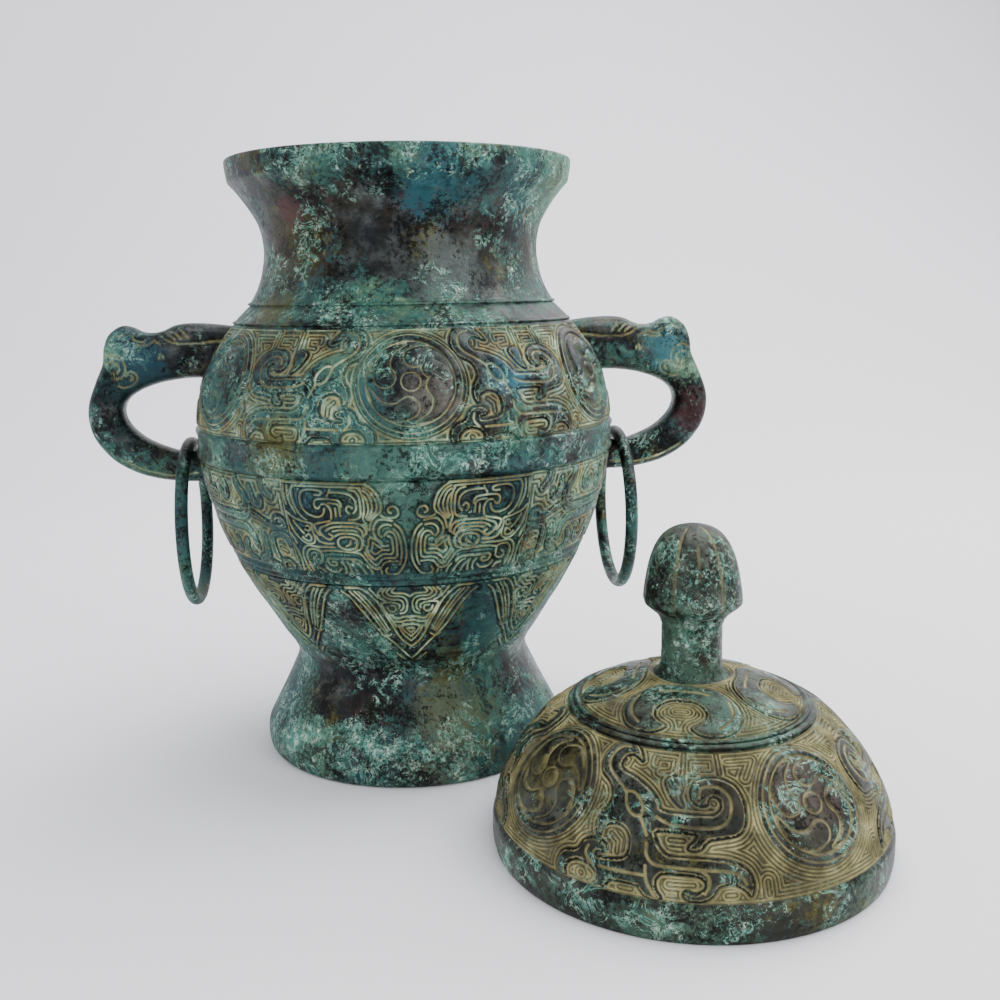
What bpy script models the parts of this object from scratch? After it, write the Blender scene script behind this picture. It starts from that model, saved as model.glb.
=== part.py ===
"""Bronze lei: a lidded ritual jar with two beast-head handles and two loose rings.

The jar and its handles are one hollow casting. The lid is a second casting, set down
beside the jar. A ring hangs on the lower arm of each handle.
"""
import math

import bmesh
import bpy
from mathutils import Matrix, Vector

# Driving dimensions, in metres
BODY_HEIGHT = 0.300
WALL = 0.0030
RELIEF = 0.0015
COMMA_RELIEF = 0.0027
OVAL_RELIEF = 0.0010
EMBED = 0.0010
CUT_PAST = 0.0010

# The jar's outer profile, from the foot up, as radius and height
FOOT = [(0.0765, 0.0), (0.0786, 0.003), (0.0784, 0.011)]
BELLY = [(0.0608, 0.051), (0.0754, 0.078), (0.0840, 0.093), (0.0915, 0.109), (0.1002, 0.132),
         (0.1053, 0.157)]
BAND = [(0.1066, 0.1590), (0.1070, 0.1690)]
SHOULDER = [(0.1054, 0.171), (0.1035, 0.187), (0.0955, 0.208), (0.0850, 0.2215)]
COLLAR = [(0.0838, 0.2240), (0.0775, 0.2310)]
NECK = [(0.0750, 0.2335), (0.0698, 0.2485), (0.0688, 0.2600), (0.0755, 0.2780)]
LIP = [(0.0846, 0.2885), (0.0858, BODY_HEIGHT - 0.001), (0.0850, BODY_HEIGHT)]
FLOOR_UNDERSIDE = 0.050
FLOOR_RADIUS = 0.0585
FLOOR_RISE = 0.0025
FOOT_WALL = 0.0045
FOOT_FILLET = 0.004

# The lid's outer profile, from the rim up, and the knob on its stem
LID_HEIGHT = 0.140
LID_RADIUS = 0.0856
LID_RIM = [(0.0842, 0.0), (LID_RADIUS, 0.0040), (LID_RADIUS, 0.0148)]
LID_DOME = [(0.0844, 0.0160), (0.0806, 0.0285), (0.0725, 0.0425), (0.0620, 0.0550),
            (0.0518, 0.0617)]
LID_MOULDING = [(0.0520, 0.0627), (0.0489, 0.0642)]
LID_CROWN = [(0.0484, 0.0634), (0.0380, 0.0690), (0.0132, 0.0770)]
LID_STEM = [(0.0130, 0.0785), (0.0128, 0.0990)]
LID_KNOB = [(0.0158, 0.1015), (0.0205, 0.1055), (0.0212, 0.1110), (0.0193, 0.1205),
            (0.0150, 0.1315), (0.0075, 0.1385)]
LID_OFFSET = Vector((0.1145, -0.1406, 0.0))

# Handles: pairs of points across the loop, inner side then outer side, as x and z,
# with the half width of the section there
HANDLE_REACH = 0.1610
HANDLE_SECTIONS = [
    ((0.0945, 0.1945), (0.0805, 0.2185), 0.0105),
    ((0.106, 0.1944), (0.106, 0.2205), 0.0110),
    ((0.130, 0.1918), (0.132, 0.2180), 0.0100),
    ((0.1365, 0.1883), (0.1445, 0.2212), 0.0095),
    ((0.1415, 0.1845), (0.1525, 0.2065), 0.0090),
    ((0.1435, 0.1815), (0.1565, 0.1955), 0.0088),
    ((0.1436, 0.1770), (HANDLE_REACH, 0.1810), 0.0086),
    ((0.1418, 0.1718), (0.1602, 0.1700), 0.0085),
    ((0.1380, 0.1668), (0.1562, 0.1610), 0.0082),
    ((0.1322, 0.1628), (0.1485, 0.1532), 0.0078),
    ((0.1150, 0.1573), (0.1180, 0.1425), 0.0073),
    ((0.0985, 0.1570), (0.0985, 0.1415), 0.0073),
]
HORN_SPINE = [(0.0880, 0.2150, 0.0035), (0.1050, 0.2180, 0.0060), (0.1290, 0.2140, 0.0020)]
HORN_APART = 0.0058

# Rings: outer diameter, wire, and where the wire's plane stands beside the jar
RING_DIAMETER = 0.0875
RING_WIRE = 0.0065
RING_X = 0.1112
ARM_TOP = 0.1573
RING_PLAY = 0.0006
ARM_CENTRE_Z = 0.1497

# Ornament. Lengths along a belt are angles times a unit radius: the gap between two whorls
# is the same on the jar, where there are six, and on the lid, where there are four.
# A belt's own start is measured down from the top of the profile that it lies on.
WHORLS = 6
LID_WHORLS = 4
WHORL_SPACING = 0.1047
WHORL_RADIUS = 23.0
WHORL_BEVEL = 0.8
WHORL_DOWN = 28.5
COMMAS = 5
COMMA_INNER, COMMA_OUTER = 5.5, 16.5
BLADES = 8
BELLY_START = -0.003
BLADE_START = 0.0495
BLADE_TURN = math.radians(0.7)
LID_START = -0.0015
LID_STRETCH = 1.09
LID_TURN = math.radians(-66)

# One flat oval near the lid's crown, as a short stroke round the stem
LID_OVAL = [(-22.0, 19.5, 7.0), (0.0, 24.0, 10.5), (22.0, 19.5, 7.0)]

# Facets round each turned or round shape
SIDES = 28
INNER_SIDES = 20
LID_SIDES = 24
HANDLE_SIDES = 8
HORN_SIDES = 5
RING_SIDES = 20
WIRE_SIDES = 6

# One horned dragon, as strokes of a brush: distance from the whorl that it faces,
# distance below the top of the belt, and half width, in millimetres
DRAGON = {
    "head": [(25.4, 6.0, 2.0), (26.6, 15.0, 2.6), (35.5, 25.5, 5.6), (45.0, 41.5, 3.4)],
    "horn": [(41.0, 26.5, 2.2), (69.5, 26.5, 2.4), (72.5, 12.5, 2.2)],
    "back": [(47.0, 42.6, 2.4), (66.0, 42.6, 1.8)],
    "claw": [(31.5, 52.0, 1.8), (25.0, 48.0, 2.4), (16.5, 51.4, 1.6)],
}

# Half of one animal mask, and of the creature beside it: distance from the middle of the
# mask, distance below the top of the belt, and half width
MASK = {
    "horn": [(23.0, 17.0, 1.6), (23.0, 9.0, 2.4), (46.0, 9.0, 2.8), (45.0, 19.0, 2.6)],
    "eye": [(22.5, 34.4, 3.4), (31.0, 34.4, 3.4)],
    "jaw": [(20.5, 45.0, 2.0), (26.0, 40.0, 2.6), (45.5, 40.0, 3.0), (44.0, 49.5, 2.4)],
    "nose": [(7.0, 19.0, 2.2), (4.6, 32.0, 2.6), (8.0, 48.0, 3.0)],
    "body": [(60.5, 13.0, 1.8), (69.0, 7.6, 2.4), (82.0, 9.4, 2.4), (80.0, 20.0, 1.8)],
}

# One hanging blade, from its left corner through its tip to its right corner
BLADE = [(-25.0, 8.0, 2.4), (0.0, 43.0, 3.2), (25.0, 8.0, 2.4)]

BRONZE = (0.060, 0.105, 0.095)
BRONZE_LID = (0.120, 0.115, 0.075)


def vectors(*profiles):
    """Several lists of points, one after another, as one list of vectors."""
    return [Vector(point) for profile in profiles for point in profile]


def offset_inward(profile, distance):
    """The same profile, listed upwards, moved towards the axis along its own normal."""
    moved = []
    for index, point in enumerate(profile):
        before = profile[max(index - 1, 0)]
        after = profile[min(index + 1, len(profile) - 1)]
        direction = (after - before).normalized()
        moved.append(Vector((point.x - direction.y * distance, point.y + direction.x * distance)))
    return moved


def along(profile, distance):
    """The point and the outward normal at a distance down a profile of radius and height."""
    for start, end in zip(profile, profile[1:]):
        length = (end - start).length
        direction = (end - start).normalized()
        if distance <= length:
            break
        distance -= length
    else:
        distance += length
    return start + direction * distance, Vector((-direction.y, direction.x))


def turned(name, collection, profile, sides, material=None):
    """A turned solid: a profile of radius and height, closed on the axis, spun by Screw."""
    mesh = bpy.data.meshes.new(name)
    edges = [(index, index + 1) for index in range(len(profile) - 1)]
    mesh.from_pydata([(point.x, 0.0, point.y) for point in profile], edges, [])
    item = bpy.data.objects.new(name, mesh)
    collection.objects.link(item)
    screw = item.modifiers.new("Turn", "SCREW")
    screw.steps = screw.render_steps = sides
    screw.use_smooth_shade = False
    screw.use_merge_vertices = True
    screw.merge_threshold = 0.00005
    if material:
        mesh.materials.append(material)
    return item


def lofted(name, collection, rows):
    """One solid through a list of point loops: sides between loops, and two end faces."""
    mesh = bpy.data.meshes.new(name)
    build = bmesh.new()
    loops = [[build.verts.new(point) for point in row] for row in rows]
    for first, second in zip(loops, loops[1:]):
        for index in range(len(first)):
            following = (index + 1) % len(first)
            build.faces.new((first[index], first[following], second[following], second[index]))
    build.faces.new(loops[0][::-1])
    build.faces.new(loops[-1])
    bmesh.ops.triangulate(build, faces=build.faces)
    bmesh.ops.recalc_face_normals(build, faces=build.faces)
    build.to_mesh(mesh)
    build.free()
    item = bpy.data.objects.new(name, mesh)
    collection.objects.link(item)
    return item


def boolean(item, operation, collection):
    """Joins a whole collection to a piece, or cuts it away."""
    change = item.modifiers.new(operation.title(), "BOOLEAN")
    change.operation = operation
    change.solver = "EXACT"
    change.operand_type = "COLLECTION"
    change.collection = collection


class Belt:
    """A stretch of a turned surface that carries ornament, drawn in millimetres."""

    def __init__(self, profile, spacing, centre, turn, side=1, stretch=1.0, start=0.0):
        self.profile = profile
        self.unit = WHORL_SPACING / spacing
        self.centre = centre
        self.turn = turn
        self.side = side
        self.stretch = stretch
        self.start = start

    def place(self, u, v, lift):
        point, normal = along(self.profile, self.start + v * 0.001 * self.stretch)
        point = point + normal * lift
        angle = self.turn + self.side * u * 0.001 / self.unit
        return Vector((point.x * math.sin(angle), -point.x * math.cos(angle), point.y)) + self.centre


def stroke(name, collection, belt, points, height=RELIEF):
    """A raised ribbon, as wide as the brush at each point and flat on top."""
    spine = vectors(points)
    rows = []
    for index, point in enumerate(spine):
        before = spine[max(index - 1, 0)]
        after = spine[min(index + 1, len(spine) - 1)]
        direction = Vector((after.x - before.x, after.y - before.y)).normalized()
        across = Vector((-direction.y, direction.x)) * point.z
        corners = ((-1, -EMBED), (1, -EMBED), (1, height), (-1, height))
        rows.append([belt.place(point.x + across.x * side, point.y + across.y * side, lift)
                     for side, lift in corners])
    lofted(name, collection, rows)


def whorl(name, collection, belt):
    """A whorl roundel: a disc, and on it a wheel of commas that all sweep the same way."""
    edge = WHORL_RADIUS - WHORL_BEVEL
    levels = (
        (-EMBED, WHORL_RADIUS, WHORL_RADIUS),
        (RELIEF, edge, edge),
        (RELIEF, COMMA_INNER, COMMA_OUTER),
        (COMMA_RELIEF, COMMA_INNER, COMMA_OUTER),
        (COMMA_RELIEF, COMMA_INNER / 2, COMMA_INNER / 2),
    )
    rows = []
    for lift, inner, outer in levels:
        row = []
        for index in range(COMMAS):
            for size, turn in ((inner, 0.0), (outer, math.pi / COMMAS)):
                angle = 2 * math.pi * index / COMMAS + turn
                row.append(belt.place(size * math.cos(angle), WHORL_DOWN + size * math.sin(angle), lift))
        rows.append(row)
    lofted(name, collection, rows)


def drawing(prefix, collection, belt, strokes):
    """Every stroke of a drawing, each as a raised ribbon."""
    for name, points in strokes.items():
        stroke(f"{prefix}_{name}", collection, belt, points)


def make_jar(model, cutters, raised, centre, material):
    outline = vectors(FOOT, BELLY, BAND, SHOULDER, COLLAR, NECK, LIP)
    profile = [Vector((0.0, BODY_HEIGHT))] + outline[::-1] + [Vector((0.0, 0.0))]
    jar = turned("jar", model, profile, SIDES, material)
    jar.location = centre

    shoulder_foot = [(SHOULDER[0][0], BAND[1][1])]
    wall = offset_inward(vectors(BELLY[1::2], shoulder_foot, SHOULDER[2:], NECK[::2]), WALL)
    floor = [(0.0, FLOOR_UNDERSIDE + WALL), (FLOOR_RADIUS, FLOOR_UNDERSIDE + WALL + FLOOR_RISE)]
    mouth = BODY_HEIGHT + CUT_PAST
    hollow = vectors(floor, wall, [(LIP[-1][0] - WALL, mouth), (0.0, mouth)])
    turned("jar_hollow", cutters, hollow[::-1], INNER_SIDES).location = centre

    under = [(0.0, FLOOR_UNDERSIDE), (BELLY[0][0] - FOOT_WALL, FLOOR_UNDERSIDE - FOOT_FILLET),
             (FOOT[2][0] - FOOT_WALL, FOOT[2][1]), (FOOT[0][0] - FOOT_WALL, -CUT_PAST), (0.0, -CUT_PAST)]
    turned("foot_hollow", cutters, vectors(under), INNER_SIDES).location = centre

    down_shoulder = vectors(SHOULDER[::-1])
    down_belly = vectors(BELLY[::-1])
    sixth = 2 * math.pi / WHORLS
    for index in range(WHORLS):
        whorl(f"whorl_{index}", raised, Belt(down_shoulder, sixth, centre, index * sixth))
    for index in range(0, WHORLS, 2):
        for side in (-1, 1):
            belt = Belt(down_shoulder, sixth, centre, index * sixth, side)
            drawing(f"dragon_{index + side}", raised, belt, DRAGON)
            belt = Belt(down_belly, sixth, centre, index * sixth, side, 1.0, BELLY_START)
            drawing(f"mask_{index + side}", raised, belt, MASK)
    for index in range(BLADES):
        turn = 2 * math.pi * index / BLADES + BLADE_TURN
        belt = Belt(down_belly, sixth, centre, turn, 1, 1.0, BLADE_START)
        stroke(f"blade_{index}", raised, belt, BLADE)
    return jar


def add_handle(raised, centre, side):
    """One beast-head handle, cast with the jar: a loft through its sections, and two horns."""
    name = "handle_left" if side < 0 else "handle_right"
    rows = []
    for inner, outer, half_width in HANDLE_SECTIONS:
        middle, reach = (Vector(inner) + Vector(outer)) / 2, (Vector(outer) - Vector(inner)) / 2
        row = []
        for index in range(HANDLE_SIDES):
            angle = 2 * math.pi * (index + 0.5) / HANDLE_SIDES
            place = middle + reach * math.cos(angle) / math.cos(math.pi / HANDLE_SIDES)
            row.append(Vector((side * place.x, half_width * math.sin(angle), place.y)) + centre)
        rows.append(row)
    lofted(name, raised, rows)
    for apart in (-1, 1):
        horn = []
        for x, z, radius in HORN_SPINE:
            angles = [2 * math.pi * index / HORN_SIDES for index in range(HORN_SIDES)]
            horn.append([Vector((side * x, apart * HORN_APART + radius * math.cos(angle),
                                 z + radius * math.sin(angle))) + centre for angle in angles])
        lofted(f"{name}_horn_{apart}", raised, horn)


def make_ring(model, centre, side, material):
    """A loose ring of round wire, hung on the handle's lower arm, with its origin there."""
    radius = (RING_DIAMETER - RING_WIRE) / 2
    hang = ARM_TOP + RING_PLAY + RING_WIRE / 2 - radius - ARM_CENTRE_Z
    bpy.ops.mesh.primitive_torus_add(
        major_segments=RING_SIDES, minor_segments=WIRE_SIDES, major_radius=radius,
        minor_radius=RING_WIRE / 2, rotation=(0.0, math.pi / 2, 0.0))
    ring = bpy.context.object
    ring.name = ring.data.name = "ring_left" if side < 0 else "ring_right"
    ring.data.transform(Matrix.Translation((0.0, 0.0, hang)) @ ring.rotation_euler.to_matrix().to_4x4())
    ring.rotation_euler = (0.0, 0.0, 0.0)
    ring.location = centre + Vector((side * RING_X, 0.0, ARM_CENTRE_Z))
    for owner in list(ring.users_collection):
        owner.objects.unlink(ring)
    model.objects.link(ring)
    ring.data.materials.append(material)
    return ring


def make_lid(model, cutters, raised, centre, material):
    outline = vectors(LID_RIM, LID_DOME, LID_MOULDING, LID_CROWN, LID_STEM, LID_KNOB)
    profile = [Vector((0.0, LID_HEIGHT))] + outline[::-1] + [Vector((0.0, 0.0))]
    lid = turned("lid", model, profile, LID_SIDES, material)
    lid.location = centre

    dome_foot = [(LID_DOME[0][0], LID_RIM[2][1])]
    wall = offset_inward(vectors(dome_foot, LID_DOME[1:-1], LID_CROWN[1:]), WALL)
    wall[-1].x = 0.0
    hollow = vectors([(0.0, -CUT_PAST), (LID_RIM[0][0] - WALL, -CUT_PAST)], wall)
    turned("lid_hollow", cutters, hollow[::-1], INNER_SIDES).location = centre

    down_dome = vectors(LID_DOME[::-1])
    down_crown = vectors(LID_CROWN[::-1])
    quarter = 2 * math.pi / LID_WHORLS
    for index in range(LID_WHORLS):
        turn = LID_TURN + index * quarter
        belt = Belt(down_dome, quarter, centre, turn, 1, LID_STRETCH, LID_START)
        whorl(f"lid_whorl_{index}", raised, belt)
        belt = Belt(down_crown, quarter, centre, turn + quarter / 2)
        stroke(f"lid_oval_{index}", raised, belt, LID_OVAL, OVAL_RELIEF)
    for index in range(0, LID_WHORLS, 2):
        for side in (-1, 1):
            turn = LID_TURN + index * quarter
            belt = Belt(down_dome, quarter, centre, turn, side, LID_STRETCH, LID_START)
            drawing(f"lid_dragon_{index + side}", raised, belt, DRAGON)
    return lid


def material_of(name, colour):
    material = bpy.data.materials.new(name)
    material.use_nodes = True
    shader = material.node_tree.nodes["Principled BSDF"]
    shader.inputs["Base Color"].default_value = (*colour, 1.0)
    shader.inputs["Metallic"].default_value = 0.45
    shader.inputs["Roughness"].default_value = 0.55
    material.diffuse_color = (*colour, 1.0)
    return material


def new_collection(name):
    collection = bpy.data.collections.new(name)
    bpy.context.scene.collection.children.link(collection)
    return collection


for leftover in list(bpy.data.objects):
    bpy.data.objects.remove(leftover)

# The jar and the lid beside it stand so that the middle of both together is at the origin
low_x, high_x = -HANDLE_REACH, LID_OFFSET.x + LID_RADIUS
low_y, high_y = LID_OFFSET.y - LID_RADIUS, BAND[1][0]
jar_centre = Vector((-(low_x + high_x) / 2, -(low_y + high_y) / 2, 0.0))
lid_centre = jar_centre + LID_OFFSET

model = new_collection("bronze_lei")
jar_cutters = new_collection("jar_cutters")
lid_cutters = new_collection("lid_cutters")
jar_raised = new_collection("jar_ornament")
lid_raised = new_collection("lid_ornament")

jar = make_jar(model, jar_cutters, jar_raised, jar_centre, material_of("jar_bronze", BRONZE))
for side in (-1, 1):
    add_handle(jar_raised, jar_centre, side)
boolean(jar, "UNION", jar_raised)
boolean(jar, "DIFFERENCE", jar_cutters)

lid = make_lid(model, lid_cutters, lid_raised, lid_centre, material_of("lid_bronze", BRONZE_LID))
boolean(lid, "UNION", lid_raised)
boolean(lid, "DIFFERENCE", lid_cutters)

for side, name in ((-1, "ring_left_bronze"), (1, "ring_right_bronze")):
    make_ring(model, jar_centre, side, material_of(name, BRONZE))

for guides in (jar_cutters, lid_cutters, jar_raised, lid_raised):
    for guide in guides.objects:
        guide.hide_render = True
        guide.display_type = "WIRE"
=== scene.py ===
"""Looks of a bronze lei: a lidded ritual jar with two beast-head handles and two loose rings."""
import math

import bmesh
import bpy
import numpy as np
from mathutils import Matrix, Vector


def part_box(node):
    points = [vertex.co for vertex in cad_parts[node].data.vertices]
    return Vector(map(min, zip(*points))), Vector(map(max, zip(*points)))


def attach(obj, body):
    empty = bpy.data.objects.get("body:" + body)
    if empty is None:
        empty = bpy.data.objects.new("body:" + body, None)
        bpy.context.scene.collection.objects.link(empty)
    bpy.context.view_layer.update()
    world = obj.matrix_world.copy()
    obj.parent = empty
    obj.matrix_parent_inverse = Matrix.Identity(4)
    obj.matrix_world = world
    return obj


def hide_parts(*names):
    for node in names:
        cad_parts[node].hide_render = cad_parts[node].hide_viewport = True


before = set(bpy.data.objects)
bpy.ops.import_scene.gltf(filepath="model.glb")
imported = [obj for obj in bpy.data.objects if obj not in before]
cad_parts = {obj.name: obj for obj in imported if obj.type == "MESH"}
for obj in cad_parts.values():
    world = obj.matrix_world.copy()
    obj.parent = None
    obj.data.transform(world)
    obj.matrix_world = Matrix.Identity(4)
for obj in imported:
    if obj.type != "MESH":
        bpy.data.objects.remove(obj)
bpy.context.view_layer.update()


# The studio: a pale sweep of matt card under broad soft lamps, and the camera at the
# photograph's angle. The jar's own axis, read from the frame, places them.
jar_low, jar_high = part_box("jar")
jar_axis = Vector(((jar_low.x + jar_high.x) / 2, (jar_low.y + jar_high.y) / 2, 0.0))

CAMERA_FROM_JAR = Vector((-0.0140, -0.5856, 0.2373))
CAMERA_DOWN, CAMERA_RIGHT, CAMERA_ROLL = math.radians(10.7), math.radians(6.1), math.radians(0.84)
CAMERA_FILM, CAMERA_LENS = 36.0, 40.33
CAMERA_NEAREST = 0.01

camera = bpy.data.objects.new("camera", bpy.data.cameras.new("camera"))
camera.data.sensor_width = CAMERA_FILM
camera.data.lens = CAMERA_LENS
camera.data.clip_start = CAMERA_NEAREST
camera.matrix_world = (
    Matrix.Translation(jar_axis + CAMERA_FROM_JAR)
    @ Matrix.Rotation(-CAMERA_RIGHT, 4, "Z")
    @ Matrix.Rotation(math.pi / 2 - CAMERA_DOWN, 4, "X")
    @ Matrix.Rotation(-CAMERA_ROLL, 4, "Z")
)
bpy.context.scene.collection.objects.link(camera)
bpy.context.scene.camera = camera


def linear(hex_colour):
    """An sRGB hex colour as the linear RGBA that a shader socket takes."""
    channels = [int(hex_colour[start:start + 2], 16) / 255 for start in (1, 3, 5)]
    return (*(c / 12.92 if c <= 0.04045 else ((c + 0.055) / 1.055) ** 2.4 for c in channels), 1.0)


def add_node(tree, kind, inputs=None, **settings):
    """Adds a node. Settings are its own properties; inputs are values or outputs of other nodes."""
    node = tree.nodes.new(kind)
    for name, value in settings.items():
        setattr(node, name, value)
    for name, value in (inputs or {}).items():
        if isinstance(value, bpy.types.NodeSocket):
            tree.links.new(value, node.inputs[name])
        else:
            node.inputs[name].default_value = value
    return node


# Matt white card: it scatters the light and shows only a soft contact shadow
paper = bpy.data.materials.new("matt_white_card")
paper.use_nodes = True
paper_shader = paper.node_tree.nodes["Principled BSDF"]
paper_shader.inputs["Base Color"].default_value = linear("#e4e3e6")
paper_shader.inputs["Roughness"].default_value = 0.9
paper_shader.inputs["Specular IOR Level"].default_value = 0.15

SWEEP_HALF_WIDTH, SWEEP_FRONT, SWEEP_BACK, SWEEP_BEND, SWEEP_TOP = 4.0, -3.0, 1.6, 0.8, 4.0
SWEEP_STEPS = 16
sweep_side = [(SWEEP_FRONT, 0.0), (SWEEP_BACK - SWEEP_BEND, 0.0)]
for step in range(1, SWEEP_STEPS + 1):
    bend = math.pi / 2 * step / SWEEP_STEPS
    sweep_side.append((SWEEP_BACK - SWEEP_BEND * (1 - math.sin(bend)),
                       SWEEP_BEND * (1 - math.cos(bend))))
sweep_side.append((SWEEP_BACK, SWEEP_TOP))
sweep_points = [(x, y, z) for x in (-SWEEP_HALF_WIDTH, SWEEP_HALF_WIDTH) for y, z in sweep_side]
sweep_count = len(sweep_side)
sweep_faces = [(i, i + sweep_count, i + sweep_count + 1, i + 1) for i in range(sweep_count - 1)]
sweep_mesh = bpy.data.meshes.new("paper_sweep")
sweep_mesh.from_pydata(sweep_points, [], sweep_faces)
sweep_mesh.shade_smooth()
sweep_mesh.materials.append(paper)
sweep = bpy.data.objects.new("paper_sweep", sweep_mesh)
bpy.context.scene.collection.objects.link(sweep)

world = bpy.data.worlds.new("studio")
world.use_nodes = True
world.node_tree.nodes["Background"].inputs["Color"].default_value = linear("#eef0f4")
world.node_tree.nodes["Background"].inputs["Strength"].default_value = 1.52
bpy.context.scene.world = world

# Three disc lamps, all aimed at the middle of the jar: name, place from its axis, width in
# metres and power in watts
LAMP_AIM = Vector((0.0, 0.0, 0.15))
LAMPS = [
    ("overhead", (0.40, 0.35, 1.40), 1.6, 30.0),
    ("right_front", (1.20, -1.20, 0.95), 1.0, 12.0),
    ("right_back", (1.30, 0.60, 1.15), 1.2, 12.0),
]
for lamp_name, lamp_place, lamp_size, lamp_power in LAMPS:
    lamp = bpy.data.objects.new(lamp_name, bpy.data.lights.new(lamp_name, "AREA"))
    lamp.data.shape = "DISK"
    lamp.data.size = lamp_size
    lamp.data.energy = lamp_power
    lamp.location = jar_axis + Vector(lamp_place)
    lamp.rotation_euler = (jar_axis + LAMP_AIM - lamp.location).to_track_quat("-Z", "Y").to_euler()
    bpy.context.scene.collection.objects.link(lamp)


# The jar's wall: one hollow casting in tin bronze, with a splayed foot, a round belly, a
# concave neck and a flat lip. Only its turned form is made here; the carved belts are laid
# into shallow beds that the profile leaves for them. Sizes from here on are in millimetres.
MM = 0.001
JAR_HEIGHT = 300.0
WALL = 3.0
BED = 0.7
BED_STEP = 2.6
BELLY_LINES = (50.6, 53.8)
TURNED_SIDES = 144
WAVINESS = 0.004
WAVES_PER_METRE = 32.0
# Half profiles, as radius and height
FOOT_SIDE = [(75.2, 0.0), (76.9, 1.0), (78.1, 3.6), (78.5, 8.0), (78.0, 12.6), (75.3, 18.0),
             (69.2, 30.0), (64.0, 41.0), (61.4, 47.0), (60.8, 51.0), (61.6, 54.6), (64.2, 59.6)]
BELLY_SIDE = [(64.2, 59.6), (71.6, 72.0), (78.6, 84.0), (84.6, 95.0), (89.6, 104.6), (95.3, 118.0),
              (99.9, 132.0), (103.2, 145.0), (105.3, 157.0)]
SHOULDER_SIDE = [(105.6, 171.0), (104.9, 179.0), (103.5, 187.0), (100.4, 197.4), (95.6, 207.0),
                 (90.4, 214.6), (85.0, 221.6)]
NECK_SIDE = [(76.2, 232.2), (72.8, 238.4), (70.2, 246.0), (68.6, 257.0), (70.2, 268.0),
             (74.4, 276.4), (79.8, 284.0), (83.6, 288.4)]


def smooth(points, steps=8):
    """Rows of numbers on the Catmull-Rom curve through the given rows."""
    rows = np.array(points, float)
    rows = np.vstack([2 * rows[0] - rows[1], rows, 2 * rows[-1] - rows[-2]])
    t = np.linspace(0.0, 1.0, steps, endpoint=False)[:, None]
    pieces = []
    for a, b, c, d in zip(rows, rows[1:], rows[2:], rows[3:]):
        pieces.append(b + t * (c - a) / 2 + t ** 2 * (2 * a - 5 * b + 4 * c - d) / 2
                      + t ** 3 * (3 * b - a - 3 * c + d) / 2)
    return np.vstack([*pieces, rows[-2:-1]])


def outward(profile):
    """Unit normals of a profile of radius and height that is listed downwards."""
    along = np.gradient(profile, axis=0)
    along /= np.linalg.norm(along, axis=1)[:, None]
    return np.column_stack([-along[:, 1], along[:, 0]])


# The section of a narrow raised line: places across its width, and the share of its rise there
BEAD_PLACES = np.array([-0.5, -0.36, -0.14, 0.14, 0.36, 0.5])
BEAD_LIFTS = np.array([-0.25, 0.55, 1.0, 1.0, 0.55, -0.25])


def bead(radius, height, width, rise):
    """A narrow raised line on a turned profile, from its upper edge to its lower one."""
    return [(radius + rise * lift, height - width * place)
            for place, lift in zip(BEAD_PLACES, BEAD_LIFTS)]


def down_profile(profile, values, distances):
    """A value of each point of a profile, read at distances down its length."""
    lengths = np.concatenate([[0.0], np.cumsum(np.hypot(*np.diff(profile, axis=0).T))])
    return np.column_stack([np.interp(distances, lengths, column) for column in values.T])


def stretch(profile, first, last, lowered=0.0):
    """The part of a profile between two distances down it, lowered into the wall."""
    distances = np.linspace(first, last, max(2, round((last - first) / BED_STEP)))
    return down_profile(profile, profile - outward(profile) * lowered, distances)


def lines_on(profile, *middles, width=2.0, rise=0.6):
    """Narrow raised lines that run round a profile at distances down its length."""
    lifted = outward(profile)
    return np.vstack([down_profile(profile, profile, middle + width * BEAD_PLACES)
                      + down_profile(profile, lifted, middle + width * BEAD_PLACES)
                      * BEAD_LIFTS[:, None] * rise for middle in middles])


def socket_id(tree, name):
    """The identifier of a tree's input, by which a modifier sets it."""
    return next(item.identifier for item in tree.interface.items_tree
                if item.name == name and item.in_out == "INPUT")


def new_tree(name, inputs):
    """A geometry tree that takes and gives a shape, with more named inputs."""
    tree = bpy.data.node_groups.new(name, "GeometryNodeTree")
    tree.interface.new_socket("Geometry", in_out="INPUT", socket_type="NodeSocketGeometry")
    for label, kind in inputs:
        tree.interface.new_socket(label, in_out="INPUT", socket_type=kind)
    tree.interface.new_socket("Geometry", in_out="OUTPUT", socket_type="NodeSocketGeometry")
    return tree, add_node(tree, "NodeGroupInput").outputs


def end_tree(tree, shape, merge, material):
    """Ends a tree: instances made real, touching points joined, finish set, shading smooth."""
    real = add_node(tree, "GeometryNodeRealizeInstances", {"Geometry": shape})
    joined = add_node(tree, "GeometryNodeMergeByDistance", {
        "Geometry": real.outputs[0], "Distance": merge})
    soft = add_node(tree, "GeometryNodeSetShadeSmooth", {"Geometry": joined.outputs[0]})
    finished = add_node(tree, "GeometryNodeSetMaterial", {
        "Geometry": soft.outputs[0], "Material": material})
    add_node(tree, "NodeGroupOutput", {"Geometry": finished.outputs[0]})


def grown(name, mesh, tree, values):
    """A new piece: a mesh passed through a geometry tree with its named inputs set."""
    seed = bpy.data.objects.new(name + "_seed", mesh)
    bpy.context.scene.collection.objects.link(seed)
    growth = seed.modifiers.new("growth", "NODES")
    growth.node_group = tree
    for label, value in values.items():
        growth[socket_id(tree, label)] = value
    seed_now = seed.evaluated_get(bpy.context.evaluated_depsgraph_get())
    made = bpy.data.meshes.new_from_object(seed_now)
    bpy.data.objects.remove(seed)
    made.name = name
    piece = bpy.data.objects.new(name, made)
    bpy.context.scene.collection.objects.link(piece)
    return piece


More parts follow.
